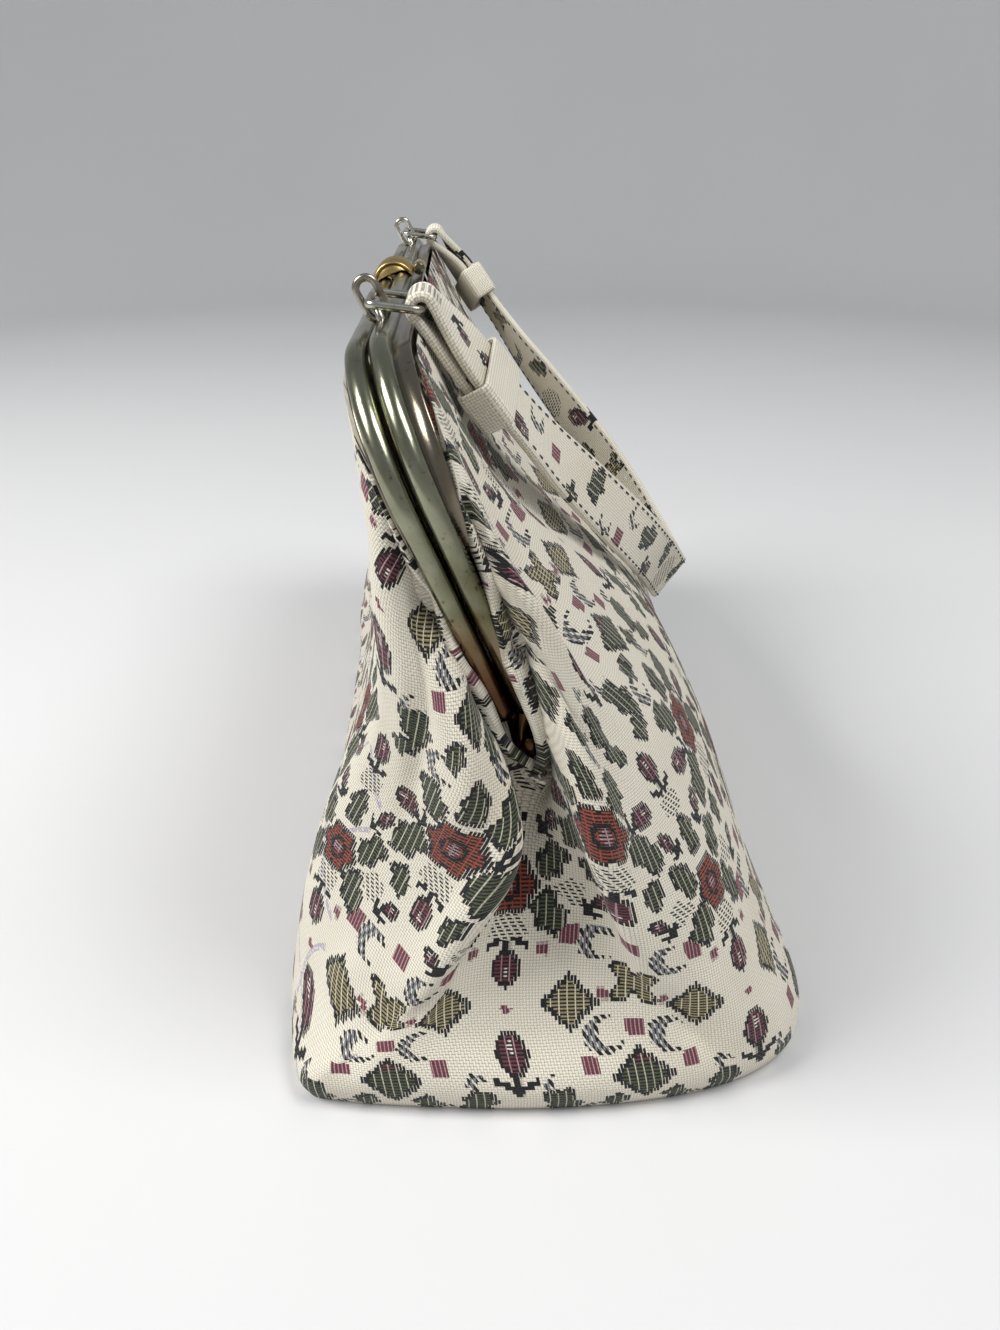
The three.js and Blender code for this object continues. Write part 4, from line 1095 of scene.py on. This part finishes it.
def rivet(name, end, material):
    """A shaft with a domed head at each end, turned about its own axis."""
    shaft = HINGE_PLATE + HINGE_PLATE_GAP / 2 + PIECE_GAP
    dome = np.linspace(DOME_TOP, 1, DOME_CUTS) * math.pi / 2
    radius = np.concatenate([RIVET_HEAD_RADIUS * np.sin(dome), [RIVET_HEAD_RADIUS, RIVET_RADIUS]])
    depth = np.concatenate([shaft + RIVET_HEAD_RISE * np.cos(dome), [shaft, shaft]])
    radius = np.concatenate([radius, radius[::-1]])
    depth = np.concatenate([-depth, depth[::-1]])
    turn = np.linspace(0, 2 * math.pi, RIVET_SIDES, endpoint=False)
    middle = frame_point(end * HINGE_X, 0.0, 0.0)
    rings = middle + places(depth[:, None], radius[:, None] * np.cos(turn), radius[:, None] * np.sin(turn))
    return tube_object(name, rings, material)


CLASP_PIN_ACROSS = BEAD_OUT + BEAD_RADIUS + BACK_FLANGE - CLASP_PIN_INSET
CLASP_PIN_UP = RAIL_HEIGHT + CLASP_PIN_RISE
CLASP_INSIDE = BEAD_OUT + BEAD_RADIUS + CLASP_CLEARANCE
CLASP_OUTSIDE = CLASP_INSIDE + CLASP_WALL
CLASP_FRONT_DROP = math.radians(6)
CLASP_BACK_RISE = math.radians(8)
CLASP_CUTS = 60
CLASP_ALONG_CUTS = 64
SKIN_INSET = 0.2
FLUTES = 5
FLUTE_DEPTH = 0.16
RIM_RISE = 0.22
RIM_INSET = 0.7
RIM_WIDTH = 0.5
EDGE_LENGTH = 1.2
EDGE_DROP = 0.25


def clasp_barrel(name, material):
    """The half barrel: a fluted wall's outline, along and out, turned over both beads. Its flutes
    are a cosine of the way along, with a bell-shaped rim and an eased edge at each end."""
    half = CLASP_LENGTH / 2
    along = np.linspace(-half, half, CLASP_ALONG_CUTS)
    from_end = half - np.abs(along)
    edge = np.clip(from_end / EDGE_LENGTH, 0, 1)
    flutes = FLUTE_DEPTH * np.cos(along / CLASP_LENGTH * 2 * math.pi * FLUTES) * (edge > 0.99)
    rim = RIM_RISE * np.exp(-((from_end - RIM_INSET) / RIM_WIDTH) ** 2)
    outer = CLASP_OUTSIDE - SKIN_INSET + flutes + rim - EDGE_DROP * (1 - edge) ** 2
    inner = np.full_like(along, CLASP_INSIDE)
    profile_along = np.concatenate([along, along[::-1]])
    profile_out = np.concatenate([outer, inner[::-1]])
    angles = np.linspace(CLASP_BACK_RISE, math.pi + CLASP_FRONT_DROP, CLASP_CUTS)[:, None]
    rings = frame_point(np.broadcast_to(profile_along, (CLASP_CUTS, len(profile_along))),
                        profile_out * np.cos(angles), RAIL_HEIGHT + profile_out * np.sin(angles))
    return tube_object(name, rings, material)


def clasp_end(name, end, material):
    """The half-round wall that closes an end of the barrel: its outline runs over the top and back
    through a notch round each bead, and is carried through the wall's thickness."""
    over = np.linspace(CLASP_BACK_RISE, math.pi + CLASP_FRONT_DROP, CLASP_CUTS)
    reach = CLASP_OUTSIDE - CLASP_WALL / 2
    top = places(reach * np.cos(over), reach * np.sin(over))
    share = np.linspace(0, 1, CLASP_CUTS)
    back = places(-CLASP_INSIDE + share * 2 * CLASP_INSIDE, 0 * share)
    from_bead = np.abs(np.abs(back[:, 0]) - BEAD_OUT)
    notch = BEAD_RADIUS + CLASP_CLEARANCE
    back[:, 1] = np.sqrt(np.maximum(notch ** 2 - from_bead ** 2, 0))
    outline = np.concatenate([top, back])
    inner = end * (CLASP_LENGTH / 2 - CLASP_WALL)
    outer = end * (CLASP_LENGTH / 2 - CLASP_WALL / 4)
    rings = np.array([frame_point(depth, outline[:, 0], RAIL_HEIGHT + outline[:, 1])
                      for depth in (inner, outer)])
    return tube_object(name, rings, material)


def round_bar(name, from_along, to_along, across, up, radius, material, sides=28):
    """A round bar along the bag with eased ends."""
    ease = radius * 0.2
    turn = np.linspace(0, 2 * math.pi, sides, endpoint=False)
    along = np.array([from_along, from_along + ease, to_along - ease, to_along])
    size = np.array([radius - ease, radius, radius, radius - ease])
    rings = frame_point(np.broadcast_to(along[:, None], (4, sides)),
                        across + size[:, None] * np.cos(turn), up + size[:, None] * np.sin(turn))
    return tube_object(name, rings, material)


# Where the strap runs, as in the part's source: down as a share of its drop, along as a share of
# the ring's place, off as a share of its thickness, and turn in degrees
FOLD_CLEARANCE = 0.4
STRAP_BEND = LINK_WIRE + FOLD_CLEARANCE + STRAP_THICKNESS / 2
STRAP_ROUTE = np.array([
    (0, 1, STRAP_BEND / STRAP_THICKNESS, 0),
    (0.113, 0.995, 1, 18),
    (0.205, 0.968, 0.75, 20),
    (0.278, 0.924, 0.7, 22),
    (0.376, 0.835, 0.65, 30),
    (0.492, 0.734, 0.95, 40),
    (0.602, 0.633, 1.25, 47),
    (0.722, 0.506, 1.45, 55),
    (0.859, 0.291, 1.05, 66),
    (1, 0, 0.1, 74),
])
STRAP_DOWN = np.array([0, math.cos(STRAP_SLOPE), -math.sin(STRAP_SLOPE)])
STRAP_OFF = np.array([0, math.sin(STRAP_SLOPE), math.cos(STRAP_SLOPE)])
STRAP_AXES = np.array([X_AXIS, STRAP_DOWN, STRAP_OFF])
LAYER_GAP = 0.4
KEEPER_FIT = 0.5
TAIL_OFFSET = STRAP_THICKNESS + LAYER_GAP
FOLD_FADE = 7.0
EDGE_SHARE = 0.8
TAIL_CUTS = 25
RUN_CUTS = 130


def strap_run():
    """The strap's middle line in its own plane, with its turn, and the distances along it."""
    rows = STRAP_ROUTE[:, [1, 0, 2]] * [RING_X, STRAP_DROP, STRAP_THICKNESS]
    rows = np.vstack([rows, rows[-2] * [-1, 1, 1]])
    turns = np.append(STRAP_ROUTE[:, 3], STRAP_ROUTE[-2, 3])
    knots = np.concatenate([[0], np.cumsum(np.linalg.norm(np.diff(rows, axis=0), axis=1))])
    return rows, turns, knots


RUN_POINTS, RUN_TURNS, RUN_KNOTS = strap_run()
RUN_LENGTH = RUN_KNOTS[-2]


def run_point(distance):
    """A place on the strap's middle line, in its own plane."""
    return through_points(RUN_POINTS, RUN_KNOTS, distance)


def run_frame(distance):
    """The strap's heading, the way across it towards the outside of its bend, and its face."""
    heading = unit(run_point(distance + 0.5) - run_point(distance - 0.5))
    turn = np.radians(through_points(RUN_TURNS[:, None], RUN_KNOTS, distance))
    level = unit(places(heading[:, 1], -heading[:, 0], np.zeros(len(heading))))
    flat = level * np.cos(turn) + np.cross(heading, level) * np.sin(turn)
    return heading, flat, np.cross(heading, flat)


def strap_section(cuts=14):
    """The band's cross-section: a flat oblong with round edges, as across and thick."""
    half, deep = STRAP_WIDTH / 2, STRAP_THICKNESS / 2
    turn = np.linspace(-math.pi / 2, math.pi / 2, 7)
    ease = deep * EDGE_SHARE
    edge = places(half - ease + ease * np.cos(turn), deep * np.sin(turn))
    across = np.linspace(half - ease, -half + ease, cuts)[1:-1]
    top = places(across, deep)
    return np.concatenate([edge, top, -edge, -top])


def strap_object(name, material):
    """The strap from its tail, round the link's bar, down to its bend and back up the far side."""
    section = strap_section()
    tail = np.linspace(STRAP_TAIL, 0, TAIL_CUTS + 1)[:-1]
    tail_heading, tail_flat, tail_face = run_frame(tail)
    drop = TAIL_OFFSET + (2 * STRAP_BEND - TAIL_OFFSET) * np.exp(-tail / FOLD_FADE)
    tail_middle = run_point(tail) + np.cross(tail_heading, tail_flat) * drop[:, None]
    fold = -math.pi / 2 - np.linspace(0, math.pi, TAIL_CUTS)
    fold_middle = places(RING_X, STRAP_BEND * np.cos(fold), STRAP_BEND * np.sin(fold))
    fold_face = places(0.0, np.cos(fold), np.sin(fold))
    run = np.linspace(0, RUN_LENGTH, RUN_CUTS)[1:]
    _, run_flat, run_face = run_frame(run)
    middle = np.concatenate([tail_middle, fold_middle, run_point(run)])
    flat = np.concatenate([tail_flat, np.broadcast_to(X_AXIS, fold_face.shape), run_flat])
    upper = np.sign(run_face[0, 2])
    face = np.concatenate([-tail_face * upper, fold_face, run_face * upper])
    local = (middle[:, None] + flat[:, None] * section[None, :, :1]
             + face[:, None] * section[None, :, 1:])
    near = LINK_BAR + local @ STRAP_AXES
    far = near[-2::-1].copy()
    far[..., 0] *= -1
    return tube_object(name, np.concatenate([near, far]), material)


def strap_stitches(name, material):
    """Short dashes of dark thread laid along both edges of the strap's two faces, each a small
    six-sided bar with tapered ends, set out at an even pitch down both legs."""
    turn = np.arange(STITCH_SIDES) * (math.tau / STITCH_SIDES)
    rings = [places(STITCH_LENGTH * end, STITCH_RADIUS * thick * np.cos(turn),
                    STITCH_RADIUS * thick * np.sin(turn))
             for end, thick in ((-0.5, 0.4), (-0.3, 1), (0.3, 1), (0.5, 0.4))]
    faces, _ = grid_faces(len(rings), STITCH_SIDES)
    first = np.arange(STITCH_SIDES)
    bar, faces = capped(np.concatenate(rings), faces, first, True)
    bar, faces = capped(bar, faces, (len(rings) - 1) * STITCH_SIDES + first, False)
    at = np.arange(STITCH_START, RUN_LENGTH, STITCH_PITCH)
    heading, flat, face = run_frame(at)
    axes = np.stack([heading, flat, face], axis=1)
    beside = STRAP_WIDTH / 2 - STITCH_INSET
    points = []
    for across in (-beside, beside):
        for out in (-STRAP_THICKNESS / 2, STRAP_THICKNESS / 2):
            middle = run_point(at) + flat * across + face * out
            points.append((middle[:, None] + bar @ axes).reshape(-1, 3))
    near = LINK_BAR + np.concatenate(points) @ STRAP_AXES
    count = len(near) // len(bar)
    step = (np.arange(count) * len(bar))[:, None, None]
    every = np.where(faces < 0, -1, faces + step).reshape(-1, 4)
    every = outwards(near, every)
    mirrored = every[:, [1, 0, 3, 2]].copy()
    triangles = every[:, 3] < 0
    mirrored[triangles] = every[triangles][:, [1, 0, 2, 3]]
    mirrored = np.where(mirrored < 0, -1, mirrored + len(near))
    points = np.concatenate([near, near * [-1, 1, 1]])
    return mesh_object(name, points, np.concatenate([every, mirrored]), material)


STITCH_SIDES = 6
STITCH_LENGTH = 1.7
STITCH_RADIUS = 0.28
STITCH_PITCH = 3.1
STITCH_INSET = 1.3
STITCH_START = 22.0


def thread_finish(name, colour):
    """Twisted thread: dull, with fine stripes of lighter and darker along it."""
    finish = Finish(name)
    twist = finish.noise(2200.0, 2.0)
    finish.link(finish.mixed(colour, GREY_THREAD, twist * 0.4), finish.shader.inputs["Base Color"])
    finish.shader.inputs["Roughness"].default_value = 0.85
    return finish.material


# How square the keeper's band is along the strap and through its wall: 1 is an ellipse, 0 a box
KEEPER_FLAT = 0.35
KEEPER_ROUND = 0.7
KEEPER_CUTS = 28


def strap_keeper(name, end, material):
    """The band round both layers of the strap: its cross-section's outline carried round."""
    heading, flat, face = (part[0] for part in run_frame(np.array([KEEPER_AT])))
    upper = np.sign(face[2])
    face = face * upper
    drop = TAIL_OFFSET + (2 * STRAP_BEND - TAIL_OFFSET) * math.exp(-KEEPER_AT / FOLD_FADE)
    middle = run_point(np.array([KEEPER_AT]))[0] - face * drop / 2
    inside_across = STRAP_WIDTH / 2 + KEEPER_FIT
    inside_thick = STRAP_THICKNESS + LAYER_GAP / 2 + KEEPER_FIT
    loop = rounded_loop(inside_across + KEEPER_WALL / 2, inside_thick + KEEPER_WALL / 2,
                        KEEPER_WALL, 8, 10)
    forward = unit(np.roll(loop, -1, axis=0) - np.roll(loop, 1, axis=0))
    out = places(forward[:, 1], -forward[:, 0])
    turn = np.linspace(0, 2 * math.pi, KEEPER_CUTS, endpoint=False)
    flatness = np.sign(np.sin(turn)) * np.abs(np.sin(turn)) ** KEEPER_FLAT * KEEPER_LENGTH / 2
    wall = np.sign(np.cos(turn)) * np.abs(np.cos(turn)) ** KEEPER_ROUND * KEEPER_WALL / 2
    spot = loop[:, None] + out[:, None] * wall[None, :, None]
    local = (middle + spot[..., :1] * flat + spot[..., 1:] * face
             + flatness[None, :, None] * heading)
    rings = LINK_BAR + local @ STRAP_AXES
    if end < 0:
        rings[..., 0] *= -1
    return tube_object(name, rings, material, closed=True)


def camera():
    """The camera at the photograph's place and angle."""
    data = bpy.data.cameras.new("camera")
    data.sensor_width = SENSOR
    data.lens = FOCAL
    data.clip_start = CLIP_NEAR
    data.clip_end = CLIP_FAR
    thing = bpy.data.objects.new("camera", data)
    bpy.context.scene.collection.objects.link(thing)
    turned = Matrix((CAMERA_RIGHT, CAMERA_UP, CAMERA_BACK)).transposed().to_4x4()
    turned.translation = CAMERA_AT
    thing.matrix_world = turned
    bpy.context.scene.camera = thing
    bpy.context.scene.view_settings.view_transform = "Standard"


def studio():
    """A round pale floor that curves up into a low wall all about it, a soft sky and soft lamps:
    a profile of flat, quarter circle and upright, turned about the upright axis."""
    finish = Finish("pale_floor")
    dust = finish.noise(3.0, 2.0)
    finish.link(finish.mixed(FLOOR_PALE, FLOOR_SHADE, dust), finish.shader.inputs["Base Color"])
    finish.shader.inputs["Roughness"].default_value = 0.85
    bend = np.linspace(0, math.pi / 2, SWEEP_CUTS)
    wall = FLOOR_REACH + SWEEP_RADIUS
    reach = np.concatenate([[FLOOR_HEART], FLOOR_REACH + SWEEP_RADIUS * np.sin(bend), [wall]])
    up = np.concatenate([[0], SWEEP_RADIUS * (1 - np.cos(bend)), [WALL_HEIGHT]])
    turn = np.linspace(0, math.tau, FLOOR_SIDES, endpoint=False)
    rings = places(reach[:, None] * np.cos(turn), reach[:, None] * np.sin(turn), up[:, None] + 0 * turn)
    faces, _ = grid_faces(len(reach), FLOOR_SIDES, flip=True)
    points, faces = capped(rings.reshape(-1, 3), faces, np.arange(FLOOR_SIDES), False)
    floor = mesh_object("floor", points, faces, finish.material)
    world = bpy.data.worlds.new("sky")
    world.use_nodes = True
    sky = world.node_tree.nodes["Background"]
    sky.inputs["Color"].default_value = SKY_COLOUR
    sky.inputs["Strength"].default_value = SKY_STRENGTH
    bpy.context.scene.world = world
    lamps = [
        # name, place, aimed at, size and power
        ("window", (0.2, -0.8, 0.85), (0.05, 0, 0.06), 0.5, 12),
        ("ceiling", (0.3, 0.5, 1.1), (0.05, 0, 0.05), 0.5, 8.5),
    ]
    for name, place, aim, size, power in lamps:
        light = bpy.data.lights.new(name, "AREA")
        light.size = size
        light.energy = power
        lamp = bpy.data.objects.new(name, light)
        way = Vector(place) - Vector(aim)
        lamp.matrix_world = Matrix.Translation(place) @ way.to_track_quat("Z", "Y").to_matrix().to_4x4()
        bpy.context.scene.collection.objects.link(lamp)


FLOOR_PALE = (0.66, 0.655, 0.645, 1)
FLOOR_SHADE = (0.62, 0.615, 0.61, 1)
SKY_COLOUR = (0.86, 0.91, 1.0, 1)
SKY_STRENGTH = 0.34
FLOOR_HEART = 50.0
FLOOR_REACH = 1100.0
FLOOR_SIDES = 96
SWEEP_RADIUS = 600.0
SWEEP_CUTS = 24
WALL_HEIGHT = 1100.0


def settle(thing, slot, *nodes, body="bag"):
    """Rides the piece on its body and hides the imported solids that it stands for."""
    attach(thing, body)
    if nodes:
        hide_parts(*nodes)
    return thing


def dress():
    """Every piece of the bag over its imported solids."""
    cloth = tapestry_finish("tapestry_cloth", stained=1.2, glitter=True)
    strap_cloth = tapestry_finish("strap_tapestry", stained=2.5)
    keeper_cloth = tapestry_finish("keeper_plain_weave", motifs=False, stained=1.0)
    bar_metal = metal_with_wear_and_reflection("frame_plate_wear_and_reflection", linear(0x9E9F8A), linear(0x57553A), 0.21, 0.5, arms=True)
    wire_metal = metal_with_wear_and_reflection("wire_worn_plate", linear(0xC4C2B8), linear(0x6F6450), 0.24, 0.4)
    clasp_metal = metal_with_wear_and_reflection("clasp_gold_tone", linear(0xE0C68A), linear(0x9C7F45), 0.28, 0.35)
    settle(bag_body(cloth), "tapestry", "bag_body")
    for side, word in ((-1, "front"), (1, "back")):
        settle(frame_bar(f"frame_bar_{word}", side, bar_metal), "frame_metal", f"frame_{word}")
        for end, where in ((1, "near"), (-1, "far")):
            settle(hinge_plate(f"hinge_plate_{word}_{where}", side, end, bar_metal), "frame_metal")
    strap = strap_object("strap_band", strap_cloth)
    weave_in(strap, strap_rows())
    thread = thread_finish("edge_thread", INK)
    settle(strap_stitches("strap_edge_stitches", thread), "strap_cloth")
    settle(strap, "strap_cloth", "handle_strap")
    for end, where in ((1, "near"), (-1, "far")):
        settle(rivet(f"rivet_{where}_domed", end, bar_metal), "frame_metal", f"rivet_{where}")
        settle(ring_lug(f"ring_lug_{where}", end, wire_metal), "wire_metal")
        settle(handle_ring(f"oval_ring_{where}", end, wire_metal), "wire_metal", f"handle_ring_{where}")
        settle(strap_link(f"flat_link_{where}", end, wire_metal), "wire_metal", f"strap_link_{where}")
        settle(strap_keeper(f"keeper_band_{where}", end, keeper_cloth), "keeper_cloth",
               f"strap_keeper_{where}")
    settle(clasp_barrel("clasp_half_barrel", clasp_metal), "clasp_metal", "clasp_lever", body="clasp")
    for end, where in ((1, "near"), (-1, "far")):
        settle(clasp_end(f"clasp_end_wall_{where}", end, clasp_metal), "clasp_metal", body="clasp")
    knuckle = CLASP_KNUCKLE_LENGTH / 2
    settle(round_bar("clasp_knuckle", -knuckle, knuckle, CLASP_PIN_ACROSS, CLASP_PIN_UP,
                     CLASP_KNUCKLE_RADIUS, clasp_metal), "clasp_metal", body="clasp")
    ear = knuckle + PIECE_GAP
    for end in (-1, 1):
        inner, outer = sorted((end * ear, end * (ear + CLASP_EAR)))
        name = f"clasp_ear_{'near' if end > 0 else 'far'}"
        settle(round_bar(name, inner, outer, CLASP_PIN_ACROSS, CLASP_PIN_UP,
                         CLASP_KNUCKLE_RADIUS, bar_metal), "frame_metal")


# Motifs on the strap: kind, place across its width and along it from the tail, turn and size
STRAP_MOTIFS = [
    ("shadow", 8.5, 29, 0, 5.0),
    ("bud", 8, 41, 30, 2.6),
    ("bud", 10, 48, 160, 2.8),
    ("bud", 5, 61, 20, 3.6),
    ("scroll", 12, 68, 0, 3.6),
    ("square", 9, 77, 0, 1.8),
    ("quatrefoil", 4, 86, 0, 3.2),
    ("leaf", 11, 96, 20, 5.2),
    ("scroll", 5, 104, 0, 3.2),
    ("square", 5, 112, 0, 2.2),
    ("scroll", 12, 117, 40, 3.2),
    ("leaf", 11, 128, 70, 5.4),
    ("bud", 5, 138, 0, 3.2),
    ("leaf", 12, 148, 150, 4.6),
    ("shadow", 8, 157, 0, 5.0),
    ("leaf", 12, 166, 30, 5.0),
    ("bud", 5, 174, 90, 3.4),
    ("leaf", 11, 184, 20, 5.2),
    ("scroll", 5, 193, 30, 3.6),
    ("quatrefoil", 11, 202, 0, 4.0),
    ("shadow", 5, 210, 0, 3.8),
    ("leaf", 11, 219, 60, 5.2),
    ("bud", 6, 230, 0, 3.4),
    ("leaf", 11, 241, 10, 5.0),
    ("scroll", 5, 250, 0, 3.4),
    ("flower", 11, 259, 0, 4.4),
    ("leaf", 6, 269, 120, 4.8),
    ("bud", 11, 279, 0, 3.4),
    ("leaf", 8, 292, 30, 4.6),
    ("shadow", 8, 304, 0, 4.0),
]
# How far along the strap its underside's motifs lie apart, and the places across both under layers
UNDER_PITCH = 11.0
UNDER_ACROSS = (23.0, 29.0)
UNDER_KINDS = ("leaf", "scroll", "quatrefoil", "leaf", "bud", "shadow")


def strap_rows():
    """The strap's motifs: those of its upper face as charted, and a row of leaves, buds, scrolls
    and hatching that takes turns down its underside."""
    under = []
    for number in range(int((STRAP_TAIL + RUN_LENGTH) * 2 / UNDER_PITCH)):
        kind = UNDER_KINDS[number % len(UNDER_KINDS)]
        across = UNDER_ACROSS[number % len(UNDER_ACROSS)]
        under.append((kind, across, number * UNDER_PITCH, number * 47 % 360, 4.6))
    return motif_rows(STRAP_MOTIFS + under)


camera()
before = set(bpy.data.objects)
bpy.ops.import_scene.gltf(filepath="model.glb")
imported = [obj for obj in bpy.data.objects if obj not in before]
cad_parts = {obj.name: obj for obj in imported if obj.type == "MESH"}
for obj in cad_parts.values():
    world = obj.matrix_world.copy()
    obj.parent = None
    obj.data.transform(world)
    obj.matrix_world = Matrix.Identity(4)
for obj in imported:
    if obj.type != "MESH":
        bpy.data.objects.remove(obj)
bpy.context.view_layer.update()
studio()
dress()
